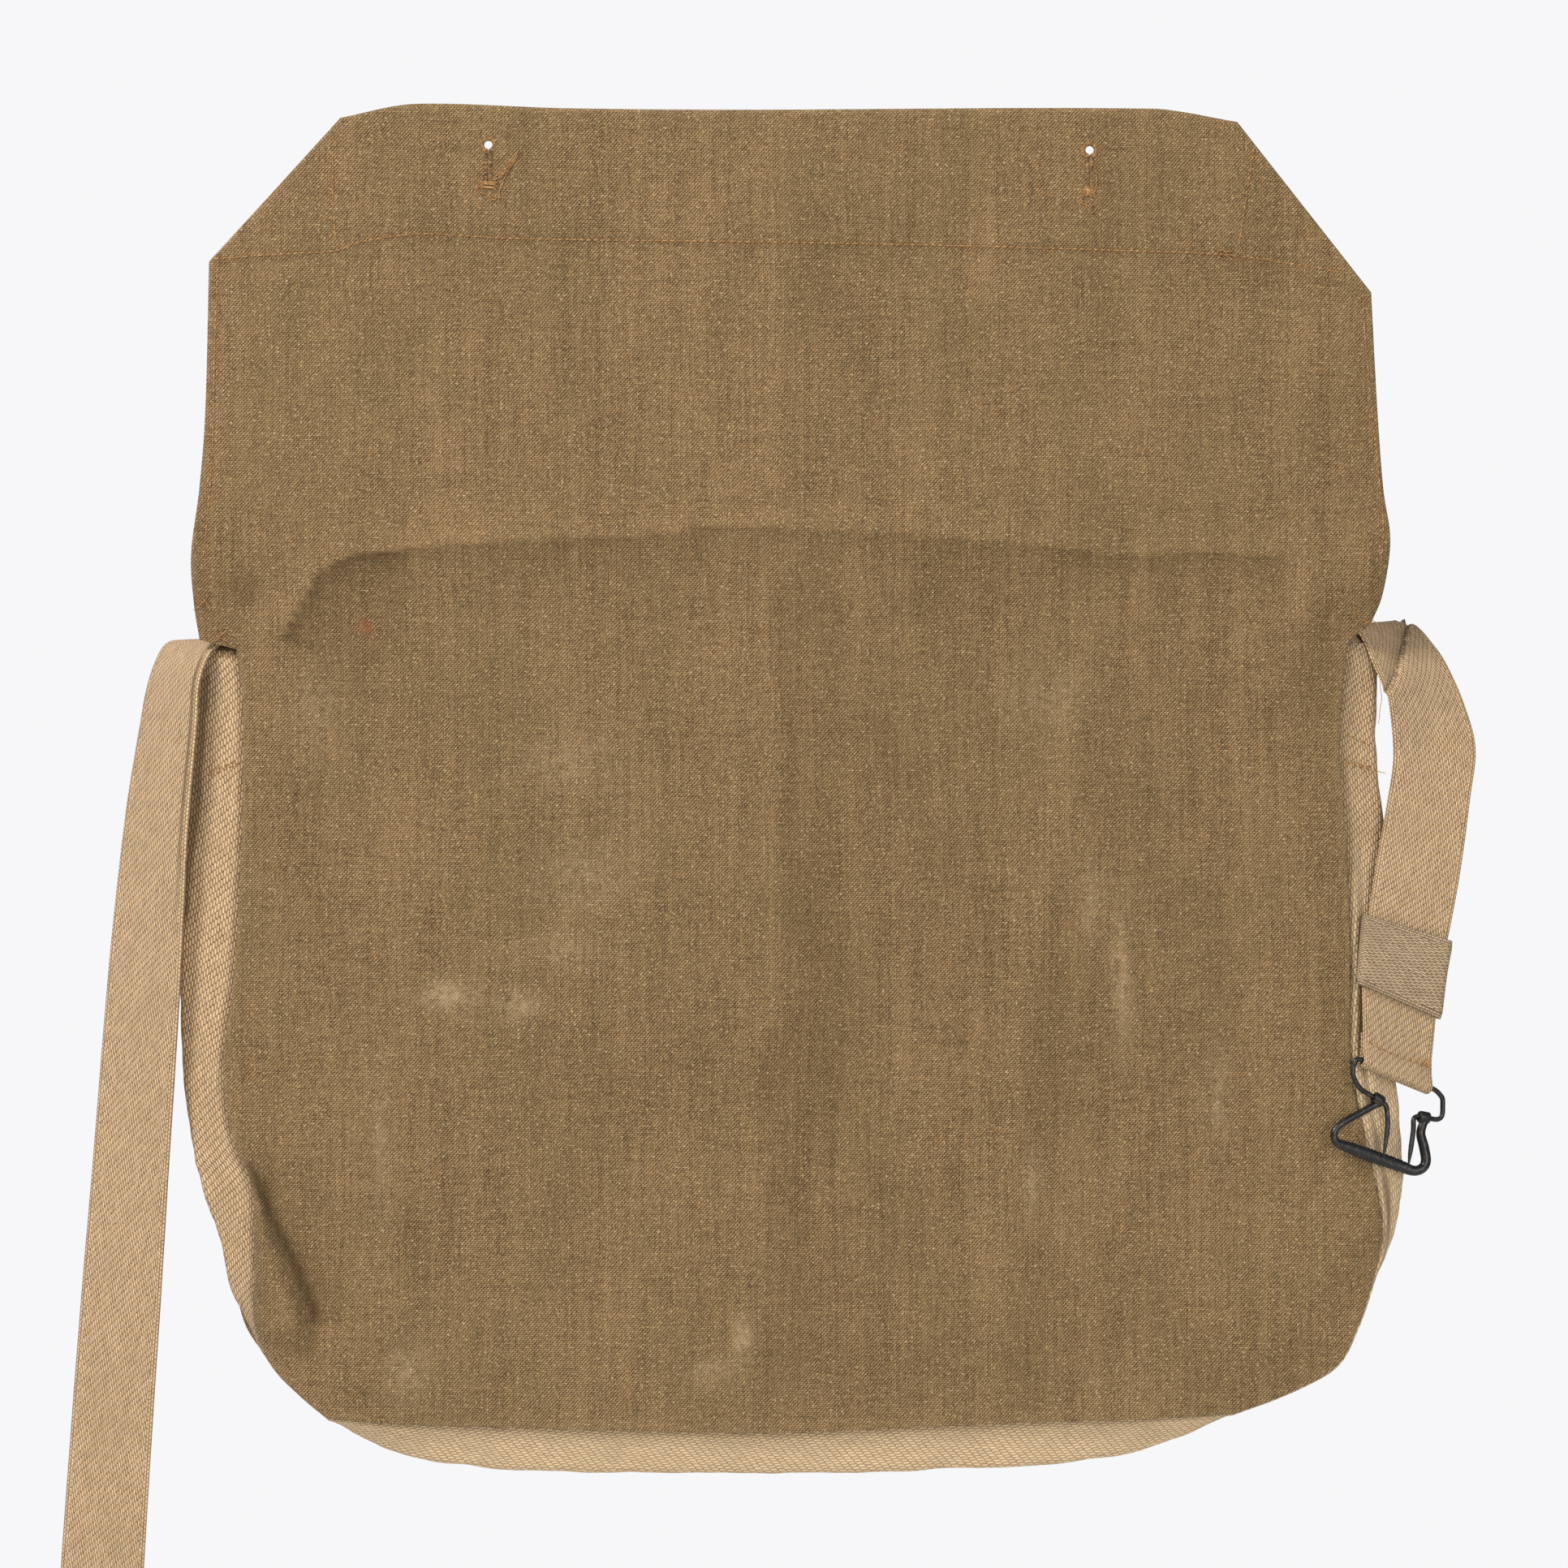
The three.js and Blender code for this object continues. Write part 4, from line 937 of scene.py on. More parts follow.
near_line = seam("near")
far_line = seam("far")
near_inward = inward(near_line)
far_inward = inward(far_line)
near_depth = hem_thickness + gap + webbing_thickness / 2
slant_width = webbing_width - 2 * seam_margin
far_turn = far_line + far_inward * seam_margin
seen = np.linalg.norm(far_turn - near_line, axis=1)
wall_depth = even(np.sqrt(np.maximum(slant_width**2 - seen**2, (slant_width / 2) ** 2)), 12)
puff_share = 0.97
puff_depth = 0.25
tuck_pull = 0.92
tuck_places = ([9.2, 10.1, 11.1, 12.8, 13.3], [0, 0.8, 1, 1, 0])
tucked = np.interp(np.arange(len(near_line)) * last_row / (SIDE_STEPS - 1), *tuck_places)


def gusset_corners(k, tuck=False):
    """Near margin's end, near edge, shoulder, far turn and far edge of the gusset at one place."""
    near = near_line[k]
    inner = near + near_inward[k] * seam_margin
    pull = (near - far_line[k]) * tuck_pull * tucked[k] if tuck else np.zeros(2)
    far = far_line[k] + pull
    turn = far_turn[k] + pull
    shoulder = near + (far - near) * puff_share
    deep = wall_depth[k]
    return np.array([(place[0], near_depth + depth, place[1]) for place, depth in (
        (inner, 0), (near, 0), (shoulder, deep * puff_depth), (turn, deep), (far, deep))])


def resample(corners, distances):
    """Points along a bent line at given distances from its start, its bends slightly rounded."""
    ease = 0.8
    marks = travelled(corners)
    end = marks[-1]
    at = np.asarray(distances) / distances[-1] * end

    def read(places):
        return np.stack([np.interp(np.clip(places, 0, end), marks, corners[:, k]) for k in range(3)], -1)
    inner = ((at > ease) & (at < end - ease))[:, None]
    return np.where(inner, (read(at - ease) + read(at + ease)) / 2, read(at))


def across_webbing(width, count=27):
    """Distances across a webbing, closer together at its edges."""
    edge = np.array([0, 0.35, 0.9, 1.8])
    middle = np.linspace(edge[-1], width - edge[-1], count)[1:-1]
    return np.concatenate([edge, middle, (width - edge)[::-1]])


def ribbon(name, sections, distances, soiled, painted_light=0, mirrored=False):
    """A webbing with round edges along sections, each a row of points across its middle."""
    rows, columns = sections.shape[:2]
    edge = np.minimum(distances, distances[-1] - distances)
    full = 0.35 + 0.65 * np.sqrt(np.clip(edge / 0.9, 0, 1))
    out = surface_normal(sections) * (webbing_thickness / 2 * full[None, :, None])
    length = travelled(sections[:, columns // 2])
    sideways = distances[-1] - distances if mirrored else distances
    uvs = np.stack(np.broadcast_arrays(sideways[None, :], length[:, None]), -1)
    values = {"soiled": soiled + np.zeros((rows, columns)), "painted_light": painted_light + np.zeros((rows, columns))}
    return shell(name, sections + out, sections - out, webbing, uvs, values, "webbing")


# Painted shade lines of the gusset: the shadow beside the shoulder strap, and two along its pleats on the
# right
gusset_lines = [
    ([(262, 796), (253, 880), (242, 1000), (232, 1100), (224, 1170)], 1.1, 0.7, 6, 14, 0.3, 71.0),
    ([(1702, 1436), (1706, 1477), (1710, 1496), (1707, 1524), (1701, 1546)], 0.7, 0.7, 0.7, 8, 0.3, 72.0),
    ([(1711, 1440), (1714, 1486), (1713, 1507)], 0.7, 0.7, 0.7, 8, 0.3, 72.0),
]
bottom_from = -440
pleat_depth = 2.2


def gusset_band():
    """The gusset's webbing, with uneven walls, pleats in its near part on the right, and painted light and
    shade.
    """
    distances = across_webbing(webbing_width)
    count = len(near_line)
    sections = np.array([resample(gusset_corners(k, tuck=True), distances) for k in range(count)])
    x, z = sections[..., 0], sections[..., 2]
    place = np.linspace(0, 1, count)[:, None]
    share = (distances / webbing_width)[None, :]
    wall = smoothstep(share, 0.12, 0.3) * (1 - smoothstep(share, 0.72, 0.9))
    length = travelled(sections[:, 8])[:, None]
    push = noise_sum(length, 30 * share, [(0.7, 17, 3.3), (0.3, 6, 7.3)]) * wall
    on_right = smoothstep(place, 0.70, 0.74) * (1 - smoothstep(place, 0.90, 0.93))
    pleat = bell(share, 0.155, 0.04) + 0.6 * bell(share, 0.30, 0.06)
    out = np.stack([push * np.where(x < 0, -1, 1) * (z > bottom_from), -pleat_depth * pleat * on_right,
                    -push * (z <= bottom_from)], -1)
    beside_pleats = bell(share, 0.10, 0.016) + bell(share, 0.215, 0.018)
    # Painted shade: a dark line along the near seam and beside the pleats on the right.
    soiled = 0.45 * bell(share, 0.13, 0.025) + 0.8 * on_right * beside_pleats
    for row in gusset_lines:
        soiled = soiled + crease(x, z, *row)
    low = smoothstep(place, 0.31, 0.35) * (1 - smoothstep(place, 0.65, 0.69))
    # Painted light: paler on the far wall, along the bottom and on the right, where the gusset stands in
    # shade.
    painted_light = np.maximum(0.5 * smoothstep(share, 0.66, 0.8), 0.35 * low) + 0.5 * on_right
    band = ribbon("gusset_webbing", sections + out, distances, np.clip(soiled, 0, 1), painted_light)
    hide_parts("gusset_band")
    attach(band, "bag")
    return band


gusset = gusset_band()


def front_panel():
    """Front panel: its edges lie behind the gusset's far margin, and its middle rests near the back."""
    places = np.concatenate([[0, 0.01, 0.04], np.linspace(0.08, 12.5, 100), [12.7, 12.85, 12.93, last_row]])
    across = across_shares(120, body_width)[None, :]
    x, z = spread(*(body_side(side, "far", places, gusset_drop) for side in ("left", "right")), across)
    low = line_z(bottom_edge, "far", body_height, mouth_z, across)
    z = z + (low - z[-1:]) * smoothstep(places, 7, last_row)[:, None]
    edge_depth = near_depth + wall_depth + webbing_thickness / 2 + 2 * gap
    side_places = np.linspace(0, last_row, SIDE_STEPS)[:-1]
    count = SIDE_STEPS - 1
    left, right = (np.interp(places, side_places, line[:count]) for line in (edge_depth, edge_depth[::-1]))
    edge = spread([left], [right], across)[0]
    bottom = edge_depth[count:count + BOTTOM_STEPS]
    low_depth = np.interp(across[0], np.linspace(0, 1, BOTTOM_STEPS), bottom)[None, :]
    edge = edge + (low_depth - edge[-1:]) * smoothstep(places, 8, last_row)[:, None]
    left, right, top_gap, low_gap = edge_distances(x, z)
    to_side = least(left, right)
    to_seam = least(to_side, low_gap)
    rest = smoothstep(to_side, side_hem, 64) * smoothstep(low_gap, side_hem + 2, 74)
    stand = noise_sum(x, z, [(2.0, 80, 31.0), (0.8, 30, 33.0), (0.25, 11, 35.0)]) * smoothstep(to_seam, 6, 40)
    stand = np.clip(stand, -1.5, 6) * smoothstep(top_gap, 0, 30)
    middle = edge + (front_rest_depth - edge) * rest + stand
    thick = cloth_thickness_at(np.maximum(hemmed(top_gap, mouth_hem), hemmed(to_seam, side_hem)))
    round_off = edge_round(least(to_seam, top_gap))
    skins = [np.stack([x, middle + thick / 2 * (1 + way * round_off), z], -1) for way in (-1, 1)]
    uvs = np.stack([x, z], -1) + 2.0 * noise_at(x, z, 130, 41.0)[..., None]
    worn = np.maximum(0.3 * np.exp(-least(to_seam, top_gap) / 1.2),
                      0.4 * smoothstep(noise_at(x, z, 30, 45.0), 0.25, 0.6))
    plain = np.zeros(x.shape)
    values = {"worn": worn, "soiled": plain, "reddened": plain}
    panel = shell("front_panel_cloth", *skins, canvas, uvs, values)
    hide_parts("front_panel")
    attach(panel, "bag")
    return panel


front = front_panel()

# The straps


def strap_frames(rows, length, places):
    """Middle points and across directions of a strap at places along its table."""
    at = {name: spline(rows[name], places) for name in strap_columns}
    turn = np.radians(at["turn"])
    level = np.sqrt(1 - at["lean"] ** 2)
    z = mouth_z - at["down"] * length
    middle = np.stack([at["side"] * body_width, at["depth"] * webbing_width, z], -1)
    across = np.stack([level * np.cos(turn), level * np.sin(turn), -at["lean"]], -1)
    return middle, across


leg_steps = 14
strap_step = 0.125


def leg_sections(is_left, leg_length, distances):
    """The sewn leg on the gusset's inner side, from its lower end to a little above the mouth."""
    lift = webbing_thickness + 3 * gap
    into = 1 if is_left else -1
    count = len(near_line)
    order = range(count) if is_left else range(count - 1, -1, -1)
    tops = np.array([gusset_corners(k) for k in list(order)[:SIDE_STEPS - 1]])
    heights = tops[:, 1, 2] - np.where(np.arange(len(tops)) == 0, top_reach, 0)
    result = []
    for share in np.linspace(1, 0, leg_steps):
        z = heights[0] - share * leg_length
        near, shoulder, far = (
            np.array([np.interp(-z, -heights, tops[:, corner, k]) for k in range(3)]) for corner in (1, 2, 3))
        ways = [unit((shoulder - near)[:2]), unit((far - shoulder)[:2])]
        insides = [np.array([way[1] * into, abs(way[0]), 0]) for way in ways]
        first = unit(insides[0] + np.array([0, 1, 0]))
        second = unit(insides[0] + insides[1])
        turn = near + first * lift / first.dot(insides[0])
        middle = shoulder + second * lift / second.dot(insides[0])
        end = far + insides[1] * lift - np.array([*ways[1], 0]) * webbing_thickness * leg_short
        inner = webbing_width - np.linalg.norm((end - middle)[:2]) - np.linalg.norm((middle - turn)[:2])
        corners = np.array([turn + np.array([into * max(inner, 2), 0, 0]), turn, middle, end])
        corners[:, 2] = z
        result.append(resample(corners, distances))
    return result + [result[-1] + np.array([0, 0, leg_rise])]


def strap_sections(rows, length, leg_length, is_left, distances):
    """A strap's sewn leg and its free part, each as rows of points across the webbing."""
    places = np.arange(0, len(rows["side"]) - 1 + 1e-6, strap_step)
    middle, across = strap_frames(rows, length, places)
    reach = (1 if is_left else -1) * (webbing_width / 2 - distances)
    free = middle[:, None, :] + across[:, None, :] * reach[None, :, None]
    return np.array(leg_sections(is_left, leg_length, distances)), free


def cupped(free, amount, seed):
    """Lets a free strap cup and ripple slightly across its width."""
    rows, columns = free.shape[:2]
    share = np.linspace(-1, 1, columns)[None, :]
    place = np.arange(rows)[:, None]
    bow = amount * (share**2 - 0.4) + 0.5 * noise_at(place, share * 6, 14, seed)
    bow = bow + 0.14 * noise_at(place, share * 8, 5, seed + 2)
    return free + surface_normal(free) * (bow * smoothstep(place, 2, 14))[..., None]


groove_place = 2.5
groove_depth = 0.9


def shoulder_strap():
    """The long strap, with a lengthwise groove near its right edge below the mouth, darkened with painted
    shade.
    """
    distances = across_webbing(webbing_width)
    lengths = (shoulder_strap_length, shoulder_strap_leg)
    leg, free = strap_sections(shoulder_strap_rows, *lengths, True, distances)
    sections = np.concatenate([leg, cupped(free, 0.5, 51.0)])
    place = np.arange(len(sections))[:, None]
    inner = smoothstep(-np.abs(place - len(leg) - 8.0), -14, -2)
    from_right = distances if sections[len(leg) + 20, 0, 0] > sections[len(leg) + 20, -1, 0] \
        else webbing_width - distances
    height = sections[..., 2]
    groove = bell(from_right[None, :], groove_place, 0.8) * (place > len(leg) + 6)
    groove = groove * smoothstep(height, -300, -240) * (1 - smoothstep(height, -197, -187))
    sections[..., 1] += groove_depth * groove
    # Painted shade along the groove, and a little darker round the arch.
    strap = ribbon("shoulder_webbing", sections, distances, np.clip(0.15 * inner + groove, 0, 1))
    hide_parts("shoulder_strap")
    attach(strap, "bag")
    return strap


shoulder_strap()

fold_middle = np.array([
    fold_place["side"] * body_width,
    fold_place["depth"] * webbing_width,
    mouth_z - fold_place["down"] * hook_strap_length,
])
turned = math.radians(hook_turn)
hook_level = np.array([math.cos(turned), math.sin(turned), 0])
hook_fore = np.array([math.sin(turned), -math.cos(turned), 0])
hook_up = np.array([0, 0, 1.0])
fold_across = unit(hook_level - hook_up * hook_slope * hook_level[0])
fold_down = unit(np.cross(fold_across, hook_fore))


def fold_sections(distances):
    """The strap's lower end: down in front of the wire, round it and back up behind."""
    bend = wire_diameter / 2 + gap + webbing_thickness / 2
    layer = (webbing_thickness + gap) / 2
    line = [(-sewn_fold, layer), (-sewn_fold * 0.75, layer), (-sewn_fold / 2, layer)]
    line += [(bend * math.sin(turn), bend * math.cos(turn)) for turn in np.radians(np.linspace(-10, 190, 15))]
    line += [(-sewn_fold / 2, -layer), (-sewn_fold, -layer)]
    reach = -(sewn_width / 2) * (1 - 2 * distances / distances[-1])
    result = []
    for down, fore in line:
        slide = -fold_down[0] / fold_across[0] * min(down, 0)
        middle = fold_middle + fold_down * down + fold_across * slide + hook_fore * fore
        result.append(middle[None, :] + fold_across[None, :] * reach[:, None])
    return np.array(result)


def hook_strap():
    """The short strap: its top leaf turns over a slanting crease, with painted shade along it, and its end is
    sewn round the wire.
    """
    distances = across_webbing(webbing_width)
    leg, free = strap_sections(hook_strap_rows, hook_strap_length, hook_strap_leg, False, distances)
    fade = smoothstep(np.arange(len(free))[:, None, None], 40, 62)
    free = cupped(free, -0.4, 61.0) * (1 - fade) + free * fade
    rows = np.arange(len(free))[:, None] * strap_step
    before = 4.1 - 2.2 * (distances / webbing_width)[None, :] - rows
    normal = surface_normal(free)
    facing = np.where(normal[..., 1:2] < 0, 1, -1)
    after = np.exp(before / 0.10)
    drop = 2.0 * np.where(before > 0, np.exp(-before / 1.1), after) * smoothstep(rows, 0.4, 1.6)
    free = free - normal * facing * (drop - (before <= 0) * after)[..., None]
    sections = np.concatenate([leg, free, fold_sections(distances)])
    soiled = np.zeros(sections.shape[:2])
    # Painted shade along the crease where the top leaf turns over.
    dark = 0.85 * np.exp(-(np.maximum(before, 0) / 0.30)) * (before > -0.05) * smoothstep(rows, 0.8, 2)
    soiled[len(leg):len(leg) + len(free)] = dark
    strap = ribbon("hook_webbing", sections, distances, soiled, mirrored=True)
    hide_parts("hook_strap")
    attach(strap, "bag")
    return strap


hook_band = hook_strap()


keeper_rows = 22
keeper_columns = 14


def keeper_ring(half_wide, half_deep):
    """The loop's section: two wide faces and two narrow sides."""
    wide = np.linspace(-1, 1, keeper_columns)
    line = [(u, -1) for u in wide] + [(1.0, v) for v in (-0.5, 0, 0.5)]
    line += [(u, 1) for u in wide[::-1]] + [(-1.0, v) for v in (0.5, 0, -0.5)]
    points = []
    for u, v in line:
        corner = 0.25 * half_deep if abs(u) > 0.999 and abs(v) > 0.9 else 0.0
        points.append((u * half_wide - math.copysign(corner, u), v * half_deep))
    return np.array(points)


def keeper_loop():
    """A webbing loop round the hook strap: closed rings along the strap, joined inside and outside."""
    places = np.linspace(keeper_from, keeper_to, keeper_rows)
    middle, across = strap_frames(hook_strap_rows, hook_strap_length, places)
    out = unit(np.cross(unit(np.gradient(middle, axis=0)), across))
    wide = webbing_width / 2 + 2 * gap
    deep = webbing_thickness / 2 + 2 * gap
    outer = keeper_ring(wide + keeper_thickness, deep + keeper_thickness)
    count = np.arange(keeper_rows)
    ends = smoothstep(np.minimum(count, count[::-1]), 0, 2)
    rings = []
    for shape, grow in ((outer, 1), (keeper_ring(wide, deep), -1)):
        side, face = shape[:, 0], shape[:, 1]
        fold = 0.9 * bell(side / wide, -0.82, 0.1) - 0.35 * bell(side / wide, -0.64, 0.06)
        for k in range(keeper_rows):
            shrink = (1 - ends[k]) * 0.35 * grow
            u = side - np.sign(side) * shrink * (np.abs(side) > wide - 1)
            v = face - np.sign(face) * shrink - (face < 0) * (grow > 0) * ends[k] * fold
            rings.append(middle[k] + across[k] * u[:, None] + out[k] * v[:, None])
    size = len(outer)
    skin = keeper_rows * size
    last = skin - size
    faces = grid_faces(keeper_rows, size, ring=True)
    faces += grid_faces(keeper_rows, size, skin, flip=True, ring=True)
    for k in range(size):
        n = (k + 1) % size
        faces += [(n, k, skin + k, skin + n), (last + k, last + n, skin + last + n, skin + last + k)]
    girth = travelled(outer)
    height = np.linspace(0, keeper_width, keeper_rows)
    uvs = np.stack(np.broadcast_arrays(height[:, None], girth[None, :]), -1).reshape(-1, 2)
    # Painted shade: a dark line on the loop's front face along the bend near its left side.
    shade = np.tile(0.6 * (outer[:, 1] < 0) * bell(outer[:, 0] / wide, -0.66, 0.09), 2 * keeper_rows)
    loop = add_object("keeper_webbing_loop", np.concatenate(rings), faces, keeper_cloth,
                      np.concatenate([uvs, uvs]), {"soiled": shade, "painted_light": 0 * shade})
    fix_normals(loop)
    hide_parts("keeper_loop")
    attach(loop, "bag")


keeper_loop()

# The hook


def hook_point(across, down, fore=0.0):
    point = fold_middle + hook_level * across * webbing_width / hook_level[0]
    return point - hook_up * down * webbing_width + hook_fore * fore * webbing_width


def rod(name, middles, high, thick, sides, level):
    """A steel rod of changing oval section, level with the hook's plane or not, closed by rounded caps."""
    along = unit(np.gradient(middles, axis=0))
    first = unit(np.cross(hook_fore, along))
    second = np.broadcast_to(hook_fore, first.shape) if level else unit(np.cross(along, first))
    rings = rings_along(middles, first, second, high, thick, sides)
    caps = []
    for k, inner in ((0, 1), (-1, -2)):
        end = middles[k]
        way = unit(end - middles[inner]) * thick[k] * 0.8
        shrunk = [end + way * lift + (rings[k] - end) * math.sqrt(1 - lift**2) for lift in (0.5, 0.85)]
        caps.append((shrunk, end + way))
    (start_cap, start_tip), (end_cap, end_tip) = caps
    rings = start_cap[::-1] + rings + end_cap
    tip = len(rings) * sides
    faces = grid_faces(len(rings), sides, ring=True)
    for k in range(sides):
        n = (k + 1) % sides
        faces += [(tip, n, k), (tip + 1, tip - sides + k, tip - sides + n)]
    thing = add_object(name, np.concatenate(rings + [[start_tip], [end_tip]]), faces, steel)
    fix_normals(thing)
    return thing


def wire_line():
    """The wire's middle line: straight between its corners and curved round them."""
    corners = [hook_point(*row) for row in wire_corners]
    line = [corners[0]]
    start = corners[0]
    for k, (corner, following) in enumerate(zip(corners[1:-1], corners[2:])):
        before = corner - start
        after = following - corner
        bend = wire_bend if k in tight_bends else wide_bend
        cut = min(bend, np.linalg.norm(before) * 0.6, np.linalg.norm(after) * 0.49)
        first = corner - unit(before) * cut
        last = corner + unit(after) * cut
        line += [start + (first - start) * t for t in np.linspace(0, 1, 5)[1:]]
        for t in np.linspace(0, 1, 9)[1:]:
            line.append((1 - t) ** 2 * first + 2 * t * (1 - t) * corner + t**2 * last)
        start = last
    return np.array(line + [start + (corners[-1] - start) * t for t in np.linspace(0, 1, 8)[1:]])


def hook_wire():
    line = wire_line()
    count = np.arange(len(line))
    half = wire_diameter / 2 * smoothstep(np.minimum(count, count[::-1]), -3, 4)
    wire = rod("hook_spring_wire", line, half, half, 16, level=False)
    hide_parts("hook_wire")
    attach(wire, "hook")


def eye_ends(eye, length):
    start = np.array(wire_corners[eye["from"]])
    end = np.array(wire_corners[eye["to"]])
    share = (eye["across"] - start[0]) / (end[0] - start[0])
    middle = hook_point(*(start + (end - start) * share))
    along = unit(hook_point(*end) - hook_point(*start))
    return middle - along * length / 2, middle + along * length / 2


def tube(name, start, end, radius, sides=28):
    """A plain round bar with slightly rounded ends, for joining and cutting."""
    along = unit(end - start)
    first = unit(np.cross(hook_fore, along))
    length = np.linalg.norm(end - start)
    rounding = [(0, 0.86), (0.25, 0.97), (0.6, 1)]
    profile = rounding + [(length / 2, 1)] + [(length - at, size) for at, size in rounding[::-1]]
    middles = [start + along * at for at, _ in profile]
    sizes = [radius * size for _, size in profile]
    rings = rings_along(middles, [first] * 7, [np.cross(along, first)] * 7, sizes, sizes, sides)
    thing = add_object(name, np.concatenate(rings), tube_faces(len(rings), sides), steel)
    fix_normals(thing)
    return thing


def hook_body():
    """The hook's thick bar, with teeth along its crossbar and an eye at each end for the wire."""
    places = np.linspace(0, len(bar_path["across"]) - 1, bar_steps)
    across, down, high, thick = (spline(bar_path[name], places) for name in bar_columns)
    line = np.array([hook_point(a, d) for a, d in zip(across, down)])
    on_bar = smoothstep(places, 7.3, 7.6) * (1 - smoothstep(places, 9.2, 9.5))
    teeth = 0.5 + 0.5 * np.sign(np.sin(travelled(line) * 2 * math.pi / tooth_pitch))
    half = webbing_width / 2
    bar = rod("hook_bar", line, high * half - tooth_depth * teeth * on_bar, thick * half, 24, level=True)
    for length, radius, operation in ((eye_length, eye_diameter / 2, "UNION"),
                                      (3 * eye_length, wire_diameter / 2 + gap, "DIFFERENCE")):
        for eye in (left_eye, right_eye):
            apply_boolean(bar, tube("eye", *eye_ends(eye, length), radius), operation)
    for polygon in bar.data.polygons:
        polygon.use_smooth = True
    bar.data.set_sharp_from_angle(angle=math.radians(40))
    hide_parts("hook_body")
    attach(bar, "hook")


hook_wire()
hook_body()

# Stitches and loose threads


class Threads:
    """Collects short round threads into one mesh."""

    def __init__(self):
        self.points = []
        self.faces = []

    def add(self, line, radius, sides=6, taper=0.35):
        line = np.asarray(line, float)
        along = unit(np.gradient(line, axis=0))
        side = unit(np.cross(along, np.array([0.13, 1.0, 0.21])))
        sizes = [radius * taper] + [radius] * (len(line) - 2) + [radius * taper]
        self.faces += tube_faces(len(line), sides, sum(map(len, self.points)))
        self.points += rings_along(line, side, np.cross(along, side), sizes, sizes, sides)

    def finish(self, name, material):
        thing = add_object(name, np.concatenate(self.points), self.faces, material)
        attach(thing, "bag")


def surface_depth(piece, x, z):
    """Depth of a piece's surface as the viewer sees it, or None beside the piece."""
    hit, place, _, _ = piece.ray_cast(Vector((x * MM, -0.2, z * MM)), Vector((0, 1, 0)))
    return place.y / MM if hit else None


def stitch_row(threads, piece, line, pitch=2.5, length=1.9, radius=0.27, seed=1):
    """Running stitches along a line of places in millimetres, each a short raised thread."""
    picker = random.Random(seed)
    marks = travelled(line)
    place = 0.0
    while place + length < marks[-1]:
        points = []
        sway = picker.uniform(-0.18, 0.18)
        for t in np.linspace(0, 1, 5):
            at = place + length * t
            x = np.interp(at, marks, line[:, 0]) + sway * (t - 0.5)
            z = np.interp(at, marks, line[:, 1]) + sway * (0.5 - t)
            y = surface_depth(piece, x, z)
            if y is None:
                break
            points.append((x, y - radius * (1.5 * math.sin(math.pi * t) - 0.5), z))
        if len(points) == 5:
            threads.add(points, radius * picker.uniform(0.88, 1.12))
        place += pitch * picker.uniform(0.94, 1.06)


def photo_line(pixels, steps=60):
    """A smooth line in millimetres through pixels of the photograph."""
    points = np.array([from_photo(*pixel) for pixel in pixels])
    places = np.linspace(0, len(points) - 1, steps)
    return np.stack([spline(points[:, 0], places), spline(points[:, 1], places)], -1)


def panel_stitches():
    threads = Threads()
    rows = [
        [(264, 319), (330, 314), (412, 309), (440, 299), (520, 288), (640, 294), (900, 298)],
        [(900, 298), (1150, 302), (1350, 308), (1500, 313), (1600, 326), (1652, 336)],
        [(410, 190), (410, 245), (414, 300)],
        [(1545, 182), (1536, 240), (1526, 305)],
        [(268, 330), (264, 440), (262, 540), (257, 620), (250, 690)],
        [(1678, 352), (1684, 440), (1696, 560), (1704, 640), (1702, 700)],
    ]
    for k, pixels in enumerate(rows):
        stitch_row(threads, back, photo_line(pixels), seed=20 + k)
    threads.finish("panel_stitches", thread)


def webbing_stitches():
    """Rows that hold the strap ends to the gusset, and the row above the hook."""
    threads = Threads()
    rows = [
        [(260, 811), (275, 808), (292, 811)],
        [(262, 806), (280, 803), (294, 806)],
        [(256, 956), (275, 948), (297, 938)],
        [(258, 951), (280, 941), (297, 934)],
        [(1660, 905), (1675, 912), (1690, 916)],
        [(1656, 936), (1672, 940), (1692, 945)],
        [(1657, 940), (1674, 944), (1692, 948)],
    ]
    for k, pixels in enumerate(rows):
        stitch_row(threads, gusset, photo_line(pixels, 20), length=2.1, seed=60 + k)
    above_hook = photo_line([(1684, 1283), (1720, 1300), (1758, 1313)], 20)
    stitch_row(threads, hook_band, above_hook, length=2.0, seed=80)
    knot = photo_line([(1751, 1309), (1757, 1307), (1760, 1312), (1754, 1314), (1759, 1306)], 20)
    at = surface_depth(hook_band, *knot[0]) or 0
    threads.add([(x, at - 0.4 - 0.2 * math.sin(k), z) for k, (x, z) in enumerate(knot)], 0.3)
    threads.finish("webbing_stitches", thread)


# Threads of a buttonhole: share of the reach, depth and, along the slit, share of the tilt
eyelet_spoke = [(0, 0.7), (0, -0.12), (0.5, -0.2), (1, 0.05)]
slit_spoke = [(0, 1.6, 0), (0, 0.25, 0), (0.4, -0.28, 0.5), (1, 0.05, 1)]
spokes = 30
slit_gap = 0.35
slit_pitch = 0.45
tack_threads = 12


